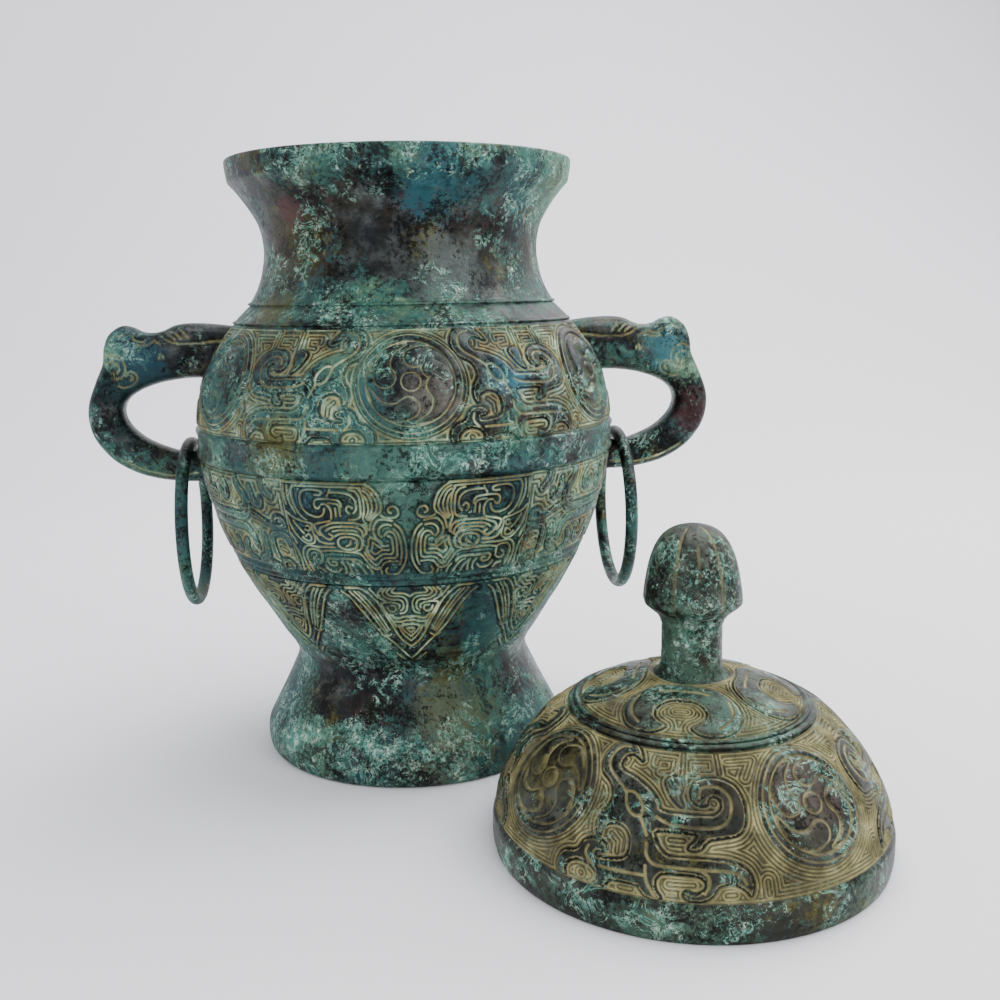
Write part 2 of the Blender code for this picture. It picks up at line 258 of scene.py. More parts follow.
# The turning tree: it carries a profile round the axis, then makes it a hand-finished casting
# by a slow waviness, given as a share of the radius so that the poles stay closed.
turning, turn_in = new_tree("turned_casting", [
    ("Axis", "NodeSocketVector"), ("Sides", "NodeSocketInt"), ("Waviness", "NodeSocketFloat"),
    ("Finish", "NodeSocketMaterial")])
turn_profile = add_node(turning, "GeometryNodeMeshToCurve", {"Mesh": turn_in["Geometry"]})
turn_inward = add_node(turning, "GeometryNodeTransform", {
    "Geometry": turn_profile.outputs[0], "Translation": (-1.0, 0.0, 0.0)})
turn_flat = add_node(turning, "GeometryNodeTransform", {
    "Geometry": turn_inward.outputs[0], "Rotation": (math.pi / 2, 0.0, 0.0)})
turn_circle = add_node(turning, "GeometryNodeCurvePrimitiveCircle", {
    "Resolution": turn_in["Sides"], "Radius": 1.0})
turn_swept = add_node(turning, "GeometryNodeCurveToMesh", {
    "Curve": turn_circle.outputs[0], "Profile Curve": turn_flat.outputs[0]})
turn_place = add_node(turning, "GeometryNodeInputPosition")
turn_noise = add_node(turning, "ShaderNodeTexNoise", {
    "Vector": turn_place.outputs[0], "Scale": WAVES_PER_METRE, "Detail": 2.0})
turn_centred = add_node(turning, "ShaderNodeMath", {
    0: turn_noise.outputs["Fac"], 1: 0.5}, operation="SUBTRACT")
turn_amount = add_node(turning, "ShaderNodeMath", {
    0: turn_centred.outputs[0], 1: turn_in["Waviness"]}, operation="MULTIPLY")
turn_sideways = add_node(turning, "ShaderNodeVectorMath", {
    0: turn_place.outputs[0], 1: (1.0, 1.0, 0.0)}, operation="MULTIPLY")
turn_shift = add_node(turning, "ShaderNodeVectorMath", {
    0: turn_sideways.outputs[0], "Scale": turn_amount.outputs[0]}, operation="SCALE")
turn_waved = add_node(turning, "GeometryNodeSetPosition", {
    "Geometry": turn_swept.outputs[0], "Offset": turn_shift.outputs[0]})
turn_moved = add_node(turning, "GeometryNodeTransform", {
    "Geometry": turn_waved.outputs[0], "Translation": turn_in["Axis"]})
end_tree(turning, turn_moved.outputs[0], 0.02 * MM, turn_in["Finish"])


def turned(name, profile, axis, finish):
    """A turned piece from a profile in millimetres that runs down its outer side."""
    mesh = bpy.data.meshes.new(name + "_profile")
    edges = [(index, index + 1) for index in range(len(profile) - 1)]
    mesh.from_pydata([(radius * MM, 0.0, height * MM) for radius, height in profile], edges, [])
    return grown(name, mesh, turning, {
        "Axis": axis, "Sides": TURNED_SIDES, "Waviness": WAVINESS, "Finish": finish})


def carried(piece, body, node):
    """Attaches a piece to the body that it rides on and hides the node that it stands for."""
    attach(piece, body)
    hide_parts(node)


def ramp(tree, factor, *stops):
    """A colour ramp through (place, colour) stops; a grey level may stand for a colour."""
    node = add_node(tree, "ShaderNodeValToRGB", {"Fac": factor})
    while len(node.color_ramp.elements) < len(stops):
        node.color_ramp.elements.new(0.5)
    for element, (place, colour) in zip(node.color_ramp.elements, stops):
        element.position = place
        element.color = linear(colour) if isinstance(colour, str) else (colour, colour, colour, 1.0)
    return node.outputs["Color"]


def patina(name, start, body, film, film_share, crust_share, earth_share, valley, groove_and_shade, dirt,
           heights, bare, salts, stains_and_highlights):
    """Cast tin bronze after a burial: dark satin metal stained brown, maroon and olive, a
    blue-green film in torn patches, pale lacy verdigris, black pits, and pale earth in the cuts.
    Black shade is painted into the grooves of the relief, and some of the patches given by place
    are painted highlights. Each noise is named by the size of its patches in millimetres. The
    sizes are those of real corrosion, and the finest, near 1 mm, is as fine as the render can show."""
    material = bpy.data.materials.new(name)
    material.use_nodes = True
    tree = material.node_tree
    shader = tree.nodes["Principled BSDF"]
    place = add_node(tree, "ShaderNodeTexCoord").outputs["Object"]
    # The earth mark holds pale earth where it is positive; where it is negative, at the foot of the
    # figures and beside raised lines, black shade is painted into the grooves.
    relief_mark = add_node(tree, "ShaderNodeAttribute", attribute_name="earth").outputs["Fac"]
    carved = ramp(tree, relief_mark, (0.02, 0.0), (0.14, valley), (0.45, valley + 0.1), (0.85, 1.0))
    offsets = iter(np.arange(start, start + 40.0, 1.37))

    def noise(size_mm, detail=4.0, roughness=0.55, warp=0.0):
        offset = float(next(offsets))
        spot = add_node(tree, "ShaderNodeMapping", {
            "Vector": place, "Location": (offset, offset, offset)})
        return add_node(tree, "ShaderNodeTexNoise", {
            "Vector": spot.outputs[0], "Scale": 1 / (size_mm * MM), "Detail": detail,
            "Roughness": roughness, "Distortion": warp}).outputs["Fac"]

    def maths(operation, first, second):
        return add_node(tree, "ShaderNodeMath", {0: first, 1: second}, operation=operation,
                        use_clamp=True).outputs[0]

    def layer(below, above, share):
        # Inputs 6 and 7 and output 2 are the Mix node's colour sockets
        return add_node(tree, "ShaderNodeMix", {0: share, 6: below, 7: above},
                        data_type="RGBA").outputs[2]

    def torn(broad, fine, fine_share):
        """Broad patches whose edges are torn by a finer noise."""
        return maths("ADD", maths("MULTIPLY", broad, 1 - fine_share),
                     maths("MULTIPLY", fine, fine_share))

    # Salts gather more at some heights than at others, given as shares of the jar's height;
    # 0.5 leaves them as they are
    height = add_node(tree, "ShaderNodeSeparateXYZ", {"Vector": place}).outputs["Z"]
    gathered = ramp(tree, maths("DIVIDE", height, JAR_HEIGHT * MM), *heights)
    tear = add_node(tree, "ShaderNodeMath", {
        0: torn(noise(15.0, 4.0), noise(3.5, 7.0, 0.75), 0.5), 1: 1.5, 2: -0.75},
        operation="MULTIPLY_ADD").outputs[0]

    def near(x, y, z, radius):
        """1 round a place on the piece, falling to 0 at the radius with a torn edge; in mm."""
        away = add_node(tree, "ShaderNodeVectorMath", {0: place, 1: (x * MM, y * MM, z * MM)},
                        operation="DISTANCE").outputs["Value"]
        away_torn = maths("ADD", maths("DIVIDE", away, 2 * radius * MM), tear)
        return ramp(tree, away_torn, (0.28, 1.0), (0.48, 0.0))

    # Bare places shed film and salts; other places gather more of them
    for spots, operation, strength in ((bare, "SUBTRACT", 0.4), (salts, "ADD", 0.22)):
        for spot in spots:
            gathered = maths(operation, gathered, maths("MULTIPLY", near(*spot), strength))

    def gathering(field, share):
        """The field raised or lowered with the height, by the share of what is gathered there."""
        raised = add_node(tree, "ShaderNodeMath", {0: gathered, 1: share, 2: -0.5 * share},
                          operation="MULTIPLY_ADD").outputs[0]
        return maths("ADD", field, raised)

    # Bare metal, darkened by tin oxide, with brown and maroon copper oxide over it
    metal = ramp(tree, noise(12.0, 8.0, 0.65), *body)
    brown = ramp(tree, torn(noise(44.0, 5.0, 0.6, 0.7), noise(5.0, 8.0, 0.7), 0.35),
                 (0.52, 0.0), (0.58, 0.6))
    colour = layer(metal, linear("#2c271d"), brown)
    maroon = ramp(tree, torn(noise(60.0, 3.0), noise(5.0, 8.0, 0.7), 0.4),
                  (0.585, 0.0), (0.64, 0.5))
    colour = layer(colour, linear("#43292a"), maroon)

    # The film of green and blue copper salts, its olive staining, and the larger patches by place:
    # most are stained patches, and some lighter grey ones are painted highlights of the lamps'
    # glare
    film_field = torn(noise(60.0, 5.0, 0.6, 0.5), noise(4.5, 9.0, 0.75, 0.6), 0.45)
    film_cover = ramp(tree, gathering(film_field, 0.25), (0.505 - film_share, 0.0),
                      (0.535 - film_share, 0.6), (0.61 - film_share, 0.92))
    shade = torn(noise(34.0, 3.0, 0.5), noise(3.0, 7.0, 0.75), 0.45)
    colour = layer(colour, ramp(tree, shade, *film), film_cover)
    olive = ramp(tree, torn(noise(50.0, 4.0), noise(4.0, 8.0, 0.7), 0.4), (0.55, 0.0), (0.61, 0.55))
    olive_colour = ramp(tree, noise(3.5, 6.0, 0.7), (0.38, "#35331a"), (0.62, "#66602c"))
    colour = layer(colour, olive_colour, olive)
    mottled = ramp(tree, shade, (0.44, 0.3), (0.56, 0.8))
    for spot, patch_colour in stains_and_highlights:
        colour = layer(colour, linear(patch_colour), maths("MULTIPLY", near(*spot), mottled))

    # Pale verdigris, as crumbs and as a lace of thin lines
    crust_field = torn(noise(46.0, 4.0, 0.6, 0.8), noise(1.9, 9.0, 0.85, 0.9), 0.58)
    crust = ramp(tree, gathering(crust_field, 0.12), (0.585 - crust_share, 0.0),
                 (0.61 - crust_share, 0.9))
    lace_field = add_node(tree, "ShaderNodeMath", {0: noise(9.0, 9.0, 0.74, 1.0), 1: 0.5, 2: 0.016},
                          operation="COMPARE").outputs[0]
    lace_zone = ramp(tree, gathering(noise(24.0, 4.0, 0.6), 0.15), (0.50, 0.0), (0.57, 0.75))
    lace = maths("MULTIPLY", lace_field, lace_zone)
    crust_colour = ramp(tree, noise(4.0, 5.0, 0.65), (0.36, "#377f73"), (0.50, "#79ae9b"),
                        (0.64, "#c4dfc9"))
    colour = layer(colour, crust_colour, maths("MAXIMUM", crust, lace))

    # Black pits, and black shade painted into the grooves at the foot of the figures and beside the
    # raised lines
    groove_shade = ramp(tree, maths("MULTIPLY", relief_mark, -1.0), (0.15, 0.0), (0.8, groove_and_shade))
    pits = ramp(tree, torn(noise(16.0, 3.0), noise(1.9, 7.0, 0.75), 0.6), (0.53, 0.0), (0.56, 0.85))
    colour = layer(colour, linear("#070806"), maths("MAXIMUM", pits, groove_shade))

    # Pale earth and ochre where the relief is cut
    earth_patch = ramp(tree, torn(noise(19.0, 4.0, 0.6), noise(3.0, 6.0, 0.7), 0.35),
                       (0.50 - earth_share, 0.0), (0.60 - earth_share, 1.0))
    earth = maths("MULTIPLY", carved, maths("ADD", maths("MULTIPLY", earth_patch, 0.5), 0.4))
    earth_colour = ramp(tree, noise(11.0, 5.0, 0.6), *dirt)
    colour = layer(colour, earth_colour, earth)
    tree.links.new(colour, shader.inputs["Base Color"])

    # Metal shows only where no film, salt or earth covers it; those are dry and rough
    cover = maths("MAXIMUM", maths("MAXIMUM", crust, earth), maths("MULTIPLY", film_cover, 0.8))
    tree.links.new(maths("MULTIPLY", maths("SUBTRACT", 1.0, cover), 0.8), shader.inputs["Metallic"])
    rough = maths("ADD", maths("MULTIPLY", cover, 0.32),
                  maths("MULTIPLY", noise(4.0, 5.0, 0.65), 0.24))
    tree.links.new(maths("ADD", rough, 0.26), shader.inputs["Roughness"])
    shader.inputs["Specular IOR Level"].default_value = 0.3

    # The grain of the cast skin, then crumbs that stand 0.5 mm up and pits as deep
    grain = add_node(tree, "ShaderNodeBump", {
        "Strength": 0.5, "Distance": 0.5 * MM, "Height": noise(1.3, 6.0, 0.7)})
    crusty = add_node(tree, "ShaderNodeBump", {
        "Strength": 0.7, "Distance": 0.5 * MM, "Height": maths("SUBTRACT", crust, pits),
        "Normal": grain.outputs[0]})
    tree.links.new(crusty.outputs[0], shader.inputs["Normal"])
    return material


# Tin bronze under blue-green copper salts: the eye sees a dark satin metal through a dull film,
# with dry pale crumbs on it. Places are in mm, as on the piece, and end with a radius.
jar_bronze = patina(
    "buried_tin_bronze_blue_green",
    start=11.2,
    body=[(0.32, "#0d0e0f"), (0.50, "#232627"), (0.66, "#474b49")],
    film=[(0.34, "#15343b"), (0.44, "#1f494b"), (0.52, "#2f5e54"), (0.58, "#4a6a52"),
          (0.68, "#7fa58c")],
    # The last value of the next line sets how dark the black shade painted into the grooves is.
    film_share=0.03, crust_share=0.02, earth_share=0.01, valley=0.14, groove_and_shade=0.65,
    dirt=[(0.34, "#4f6052"), (0.42, "#86764a"), (0.50, "#91915f"), (0.57, "#8fa583"),
          (0.66, "#cacca0")],
    heights=[(0.0, 0.56), (0.08, 0.54), (0.15, 0.46), (0.22, 0.62), (0.29, 0.62), (0.36, 0.54),
             (0.48, 0.54), (0.55, 0.54), (0.60, 0.50), (0.72, 0.50), (0.77, 0.60), (0.82, 0.46),
             (0.88, 0.42), (0.93, 0.54), (1.0, 0.64)],
    bare=[(-28, -9, 263, 34), (12, -3, 250, 24), (-55, 9, 45, 24), (-126, 51, 205, 22),
          (-152, 51, 184, 34), (-17, -41, 196, 22), (-71, 12, 268, 24)],
    salts=[(-49, -6, 72, 24), (20, -3, 74, 24), (-79, 10, 16, 24), (40, 8, 284, 20),
           (38, -30, 164, 18)],
    # Among these patches, the grey ones on the front of the neck (-3, -7, 246) and of the foot (-8,
    # -6, 32 and -6, -17, 10) are painted highlights: the glare of the lamps on the metal, painted
    # as colour.
    stains_and_highlights=[((-4, -18, 283, 22), "#245761"), ((-151, 51, 208, 18), "#234654"),
            ((-152, 51, 182, 30), "#1b3437"), ((117, 51, 207, 13), "#2f6370"),
            ((23, -30, 201, 13), "#2a5c6b"), ((-25, -46, 164, 28), "#3d6359"),
            ((-70, -28, 137, 24), "#264c57"), ((-71, 15, 254, 24), "#453f26"),
            ((-80, 13, 231, 16), "#55532c"), ((-83, -25, 164, 20), "#56562c"),
            ((0, -2, 39, 22), "#55552f"), ((-70, 8, 274, 10), "#4a2a2e"),
            ((133, 51, 173, 16), "#4c2426"), ((-3, -7, 246, 22), "#4e5653"),
            ((-8, -6, 32, 20), "#525d4c"), ((-6, -17, 10, 15), "#575a4d"),
            ((-11, -41, 191, 14), "#5d5952")])

shoulder_top_down = smooth(SHOULDER_SIDE)[::-1]
belly_top_down = smooth(BELLY_SIDE)[::-1]
neck = smooth(NECK_SIDE, 4)
# The profile runs from the middle of the floor up the inside, over the lip, down the outside,
# under the foot and back to the middle
jar_profile = np.vstack([
    [(0.0, 54.0)],
    smooth([(0.0, 54.0), (40.0, 54.2), (58.0, 56.6), (64.0, 63.0)], 4)[1:],
    (belly_top_down - outward(belly_top_down) * WALL)[::-1][6::2],
    (shoulder_top_down - outward(shoulder_top_down) * WALL)[::-1][::2],
    neck + outward(neck) * WALL,
    [(81.6, 291.0), (82.2, 298.6), (82.7, 299.6), (83.3, JAR_HEIGHT), (85.0, JAR_HEIGHT),
     (85.6, 299.7), (85.9, 299.0), (85.7, 296.0), (85.0, 291.6), (84.7, 289.8), (84.2, 288.9)],
    smooth(NECK_SIDE, 6)[::-1],
    bead(76.9, 231.2, 1.6, 0.9),
    [(77.6, 229.8), (80.4, 227.0), (82.9, 224.6), (84.2, 223.2)],
    bead(84.9, 222.3, 1.5, 0.7),
    bead(86.0, 220.2, 1.5, 0.7),
    stretch(shoulder_top_down, 2.8, 54.8, BED),
    [(106.0, 170.9), (106.7, 170.5), (106.9, 169.6), (106.6, 168.6), (106.1, 168.0), (106.1, 164.0),
     (106.1, 160.0), (106.6, 159.4), (106.9, 158.4), (106.7, 157.5), (106.0, 157.0)],
    stretch(belly_top_down, 1.4, BELLY_LINES[0] - 1.6, BED),
    lines_on(belly_top_down, *BELLY_LINES),
    stretch(belly_top_down, BELLY_LINES[1] + 1.6, 105.6, BED),
    smooth(FOOT_SIDE, 6)[::-1][3:],
    [(74.2, 0.0), (73.6, 0.4), (73.4, 1.2)],
    smooth([(73.4, 1.2), (73.9, 9.0), (71.0, 15.0), (64.6, 29.0), (59.0, 41.0), (55.6, 47.0),
            (50.0, 49.4)], 4)[1:],
    [(25.0, 50.0), (0.0, 50.0)],
])
carried(turned("jar_body", jar_profile, jar_axis, jar_bronze), "jar", "jar")


# The shoulder's belt: ornament cast with the wall, as smooth plates on a ground of fine ridges
# that echo every outline. Six whorl bosses each hold a wheel of five commas, and horned
# dragons face every second boss in pairs. Pale earth lies in the ridges and the cut lines, and
# black shade is painted at the foot of each plate.
SHOULDER_DOWN = 1.04
SHOULDER_EDGES = (0.4, 53.2)
SHOULDER_BOSS, SHOULDER_BOSS_RADIUS, SHOULDER_COMMAS = 26.9, 24.2, (10, 96, 190, 280, 328)
# The real ridges are near 1 mm apart; they are drawn coarser, so that the mesh and the render
# can show them
SHOULDER_PITCH = 1.75

# All belts: the way from boss to boss and the radius that it is drawn on, the mesh before
# thinning, heights above the plain wall, the sleeve's thickness and its rows behind, triangles,
# the half width of a cut line, the gap round a boss, and a distance that counts as far away
UNIT = 104.7
NOMINAL = UNIT / (math.pi / 3)
GRID = 0.34
ECHO_RISE, ECHO_FALL, FIGURE_RISE = 0.5, -0.3, 0.9
BELT_SKIN, BACK_ROWS = 0.5, 7
BELT_TRIANGLES = 180000
CUT_HALF, BOSS_GAP = 0.3, 1.2
FAR = 99.0

# Half of the drawing, in mm round the belt from a faced boss and down from its upper edge: the
# dragon's plates, places that the ridges echo as well, and the lines cut in the plates
DRAGON = [
    [(37.5, 8.2), (36.2, 6), (33.4, 3.1), (29.5, 1.8), (25.7, 1.9), (22.6, 3.5), (20.6, 6.3),
     (20, 9.5), (20.8, 12.9), (22.6, 15.5), (24.8, 16.9), (27.5, 18.3), (29.4, 20.8), (30.2, 24.2),
     (29.3, 27.2), (27.8, 29.4), (27.1, 32.2), (27.5, 35.1), (28.8, 36.7), (29.1, 34.2),
     (30.9, 32.2), (34, 31.4), (37.2, 32.2), (39.2, 34.5), (39.9, 37.6), (39.6, 40.8), (37.8, 42.8),
     (34, 43.7), (29.5, 44.2), (28.7, 43.1), (29.1, 42), (31.1, 41.7), (32.2, 40.8), (31.7, 39.7),
     (30, 38.8), (27.5, 38.5), (25.2, 39.4), (23.7, 40.9), (22.8, 43.2), (21.1, 44.6), (18.5, 45.4),
     (16.5, 47.4), (15.8, 50.5), (16.8, 53.1), (19.4, 53.4), (18.8, 51.5), (19.7, 48.9),
     (21.8, 47.2), (24.9, 46.6), (28.2, 47.4), (30.2, 49.1), (30.8, 51.4), (30, 53.5), (32.8, 53.5),
     (34, 51.1), (35.7, 50), (42.9, 50), (44.2, 51.2), (46.6, 53.5), (50.3, 53.5), (48.9, 51.1),
     (48.3, 48), (49.7, 45.4), (52.2, 44.8), (60.3, 44.8), (63.2, 46.3), (63.8, 48.2), (62.9, 50),
     (60.3, 51.2), (57.8, 50.3), (57.2, 51.8), (59.1, 53.1), (62.6, 53.1), (65.4, 51.1),
     (67.1, 48.3), (69.7, 47.4), (72.6, 47.7), (75.5, 49.7), (76.6, 51.4), (77.5, 48.8),
     (77.1, 45.7), (75.5, 42.9), (71.7, 40.8), (67.8, 39.9), (59.4, 39.6), (52.6, 39.6), (49.8, 38),
     (48.2, 35.5), (47.7, 31.5), (60.2, 31.4), (60.6, 33.5), (58.3, 36.5), (61.7, 36.5),
     (64.2, 33.7), (67.8, 32.8), (74, 31.8), (76.8, 28.8), (77.8, 24.2), (77.5, 19.8), (75.5, 15.8),
     (71.8, 13.5), (67.8, 12.6), (63.5, 12.9), (60.3, 14.6), (58.9, 17.7), (59.8, 20.5), (62, 22),
     (64.6, 21.5), (65.1, 19.5), (67.1, 18.6), (69.4, 19.8), (70, 22.2), (68.5, 24.5), (65.5, 25.7),
     (57.1, 25.5), (48.8, 24.9), (47.1, 22.3), (44, 18.9), (40.2, 16.5), (35.5, 14.5), (31.2, 13.5),
     (29.1, 12), (28.8, 9.5), (30.2, 7.1), (33.2, 6.3)],
    [(52.6, 12.6), (55.2, 13.4), (55.1, 16.5), (54.5, 19.5), (55.7, 22.8), (52.8, 20.8),
     (50.5, 17.7), (49.2, 14.8), (50.6, 13)],
]
DRAGON_SEEDS = [
    [(28.6, 7.4), (31.4, 8.8), (31.0, 10.6)],
    [(66.6, 21.2), (67.2, 21.6)],
    [(43.8, 8.6), (43.8, 6.2), (51.2, 6.2), (50.6, 10.8), (46.4, 11.4)],
    [(55.2, 3.4), (55.2, 12.2)],
    [(58.4, 10.0), (58.4, 6.4), (66.8, 6.4), (66.8, 9.6), (61.6, 9.6)],
    [(70.3, 3.4), (70.3, 11.0)],
    [(74.4, 6.4), (86.0, 6.4), (80.6, 13.2)],
    [(52.2, 34.2), (56.6, 34.2)],
    [(24.8, 51.0), (25.2, 51.2)],
    [(38.0, 52.0), (41.6, 52.0)],
    [(52.6, 48.4), (60.0, 48.2)],
    [(69.6, 51.2), (72.0, 51.0)],
    [(33.0, 35.4), (35.6, 37.4), (35.8, 41.0)],
    [(82.0, 47.4), (82.2, 51.6)],
]
DRAGON_CUTS = [
    [(29.8, 3.8), (26.6, 4.2), (24.2, 6.5), (23.6, 10.3), (25.4, 13.8), (29.4, 16.5), (32.8, 18.8),
     (34.8, 20.5)],
    [(34.8, 20.3), (37.8, 20.1), (40.6, 22), (42.3, 25.1), (41.7, 27.7), (38.9, 27.5), (36.3, 24.9),
     (34.8, 20.3)],
    [(41.7, 27.7), (43.4, 30.6), (44.8, 33.5)],
    [(45.1, 36.5), (45.4, 39.7), (47.4, 42.2), (50.9, 42.8), (61.7, 43), (70.9, 43.5), (74, 45.1),
     (75.4, 47.4)],
    [(30.9, 46.8), (39.4, 46.7), (45.4, 46.5)],
    [(45.4, 43.4), (45.7, 46.5), (46.6, 49.4), (48.8, 52.8)],
    [(26.2, 41.2), (25.7, 43.4), (26.6, 45.2), (28.3, 46.9)],
    [(62, 19.2), (62.6, 16.6), (65.5, 15.5), (69.7, 16.2), (72.6, 18.9), (73.2, 22), (71.8, 26.6),
     (68.5, 29.2), (63.2, 29.7), (55.5, 29.4), (50.9, 28.8), (47.4, 27.2)],
    [(62, 43.2), (64.2, 45.1), (64.5, 48), (63.2, 50.6)],
]


def pen(points, half_width=0.0, turns=4, closed=False):
    """A drawn line as rows of (along, down, half width); a point may bring its own width."""
    rows = [(*point, half_width)[:3] for point in points]
    if closed:
        rows.append(rows[0])
    return smooth(rows, turns) if len(rows) > 2 and turns > 1 else np.array(rows, float)


def near_lines(us, vs, lines, across, down=1.0, reach=13.0):
    """Distance in mm from each grid point to the nearest drawn line's edge, negative inside it."""
    nearest = np.full((len(vs), len(us)), reach)
    for line in lines:
        for (u0, v0, w0), (u1, v1, w1) in zip(line, line[1:]):
            scale = np.interp((v0 + v1) / 2, vs, across)
            near_u = reach / scale
            left, right = np.searchsorted(us, (min(u0, u1) - near_u, max(u0, u1) + near_u))
            top, low = np.searchsorted(vs, (min(v0, v1) - reach / down, max(v0, v1) + reach / down))
            if left == right or top == low:
                continue
            x = (us[left:right] - u0) * scale
            y = ((vs[top:low] - v0) * down)[:, None]
            run_x, run_y = (u1 - u0) * scale, (v1 - v0) * down
            t = np.clip((x * run_x + y * run_y) / max(run_x ** 2 + run_y ** 2, 1e-9), 0.0, 1.0)
            distance = np.hypot(x - t * run_x, y - t * run_y) - (w0 + (w1 - w0) * t)
            window = nearest[top:low, left:right]
            np.minimum(window, distance, out=window)
    return nearest


def plates(us, vs, outlines, across, down=1.0):
    """Distance in mm to the edge of flat figures given by their outlines, negative inside."""
    loops = [pen(outline, turns=3, closed=True) for outline in outlines]
    inside = np.zeros((len(vs), len(us)), bool)
    for loop in loops:
        within = np.zeros_like(inside)
        for (u0, v0, _), (u1, v1, _) in zip(loop, loop[1:]):
            rows = (vs >= min(v0, v1)) & (vs < max(v0, v1))
            if rows.any():
                crossing = u0 + (vs[rows] - v0) * (u1 - u0) / (v1 - v0)
                within[rows] ^= us[None, :] > crossing[:, None]
        inside |= within
    edge = near_lines(us, vs, loops, across, down)
    return np.where(inside, -edge, edge)


def ease(value, start, end):
    """A smooth rise from 0 at the start to 1 at the end."""
    t = np.clip((value - start) / (end - start), 0.0, 1.0)
    return t * t * (3 - 2 * t)


def relief(figures, ground, cuts, pitch):
    """Height and earth of a belt: plates with lines cut in them, on a ground of echoing ridges.
    Each argument is a distance in mm. Earth is 1 where pale earth lies, and -1 at the sunken
    foot of a plate, where the material paints black shade."""
    waves = np.clip(1.3 * (0.5 + 0.5 * np.cos(2 * np.pi * ground / pitch)), 0.0, 1.0)
    earth = 0.15 + 0.85 * waves
    foot = 1 - ease(figures, 0.3, 0.75)
    lines = 1 - ease(cuts, 0.0, 0.42)
    plate = ECHO_RISE + (FIGURE_RISE - ECHO_RISE) * ease(-figures, 0.2, 1.0)
    ridges = ECHO_FALL + (ECHO_RISE - ECHO_FALL) * waves - 0.15 * foot
    height = np.where(figures < 0, plate - 0.5 * lines, ridges)
    rim = 1 - ease(-figures, 0.2, 0.6)
    return height, np.where(figures < 0, np.maximum(lines, rim), earth * (1 - foot) - foot)


def whorl(us, vs, centre_u, centre_v, across, down, radius, heads):
    """Distance to the rim of a whorl boss, its height and its earth: a rim band round a plate
    that carries a round boss and turning commas, whose heads lie at the given degrees. Places
    in it are shares of its radius."""
    comma = [(0.47, 0, 0.185), (0.585, 15, 0.165), (0.66, 31, 0.13), (0.715, 50, 0.08),
             (0.745, 74, 0.015)]
    plate_edge, plate_groove, rim_groove, middle = 0.785, 0.80, 0.925, 0.165
    scale = np.interp(centre_v, vs, across)
    x = (us - centre_u)[None, :] * scale
    y = (vs - centre_v)[:, None] * down
    out = np.hypot(x, y)
    commas = [pen([(centre_u + radius * far * math.cos(math.radians(head + turn)) / scale,
                    centre_v + radius * far * math.sin(math.radians(head + turn)) / down,
                    radius * width) for far, turn, width in comma]) for head in heads]
    wheel = np.minimum(near_lines(us, vs, commas, across, down), out - radius * middle)
    inner = np.abs(out - radius * plate_groove)
    outer_cut = 1 - ease(np.abs(out - radius * rim_groove), 0.1, 0.5)
    rim = ECHO_RISE + 0.95 * ease(radius - out, 0.2, 1.2) - 0.9 * (1 - ease(inner, 0.25, 0.9))
    rim -= 0.35 * outer_cut
    plate = 0.75 + 1.15 * ease(-wheel, -0.1, 1.5) - 0.3 * (1 - ease(np.abs(wheel - 0.25), 0.1, 0.5))
    rim_earth = np.maximum(0.8 * (1 - ease(inner, 0.15, 0.7)), 0.9 * outer_cut)
    plate_earth = 0.75 * (1 - ease(np.abs(wheel - 0.2), 0.15, 0.6))
    on_plate = out < radius * plate_edge
    return out - radius, np.where(on_plate, plate, rim), np.where(on_plate, plate_earth, rim_earth)


def mark_earth_and_shade(mesh, rows):
    """Writes how much earth or shade lies at each point, for the material to read."""
    mark = mesh.attributes.new("earth", "FLOAT", "POINT")
    mark.data.foreach_set("value", np.concatenate(rows).astype(np.float32))


def sector_mesh(name, profile, start, down, nominal, us, vs, height, earth, turn):
    """One repeat of a belt as a thin closed-section sleeve, before its mesh is thinned."""
    base = down_profile(profile, profile, start + vs * down)
    normal = down_profile(profile, outward(profile), start + vs * down)
    angles = turn + us / nominal
    rows, earths = [], []
    for index in range(len(vs)):
        radius = base[index, 0] + normal[index, 0] * height[index]
        z = base[index, 1] + normal[index, 1] * height[index]
        rows.append(np.column_stack([radius * np.sin(angles), -radius * np.cos(angles), z]))
        earths.append(earth[index])
    for index in np.linspace(len(vs) - 1, 0, BACK_ROWS).astype(int):
        inside = base[index] - normal[index] * (BED + BELT_SKIN)
        rows.append(np.column_stack([inside[0] * np.sin(angles), -inside[0] * np.cos(angles),
                                     np.full(len(us), inside[1])]))
        earths.append(np.zeros(len(us)))
    columns, loop = len(us), len(rows)
    first = np.arange(loop)[:, None] * columns + np.arange(columns - 1)[None, :]
    below = (np.arange(1, loop + 1) % loop)[:, None] * columns + np.arange(columns - 1)[None, :]
    faces = np.stack([first, below, below + 1, first + 1], axis=-1).reshape(-1, 4)
    mesh = bpy.data.meshes.new(name)
    mesh.from_pydata((np.vstack(rows) * MM).tolist(), [], faces.tolist())
    mark_earth_and_shade(mesh, earths)
    return mesh


def thinned(mesh, columns, triangles):
    """A sector thinned to a number of triangles, with its two cut ends left as they are."""
    piece = bpy.data.objects.new(mesh.name, mesh)
    bpy.context.scene.collection.objects.link(piece)
    ends = piece.vertex_groups.new(name="ends")
    count = len(mesh.vertices)
    ends.add([*range(0, count, columns), *range(columns - 1, count, columns)], 1.0, "REPLACE")
    thin = piece.modifiers.new("thin", "DECIMATE")
    thin.ratio = triangles / (2 * len(mesh.polygons))
    thin.vertex_group = "ends"
    thin.invert_vertex_group = True
    piece_now = piece.evaluated_get(bpy.context.evaluated_depsgraph_get())
    made = bpy.data.meshes.new_from_object(piece_now)
    bpy.data.objects.remove(piece)
    return made


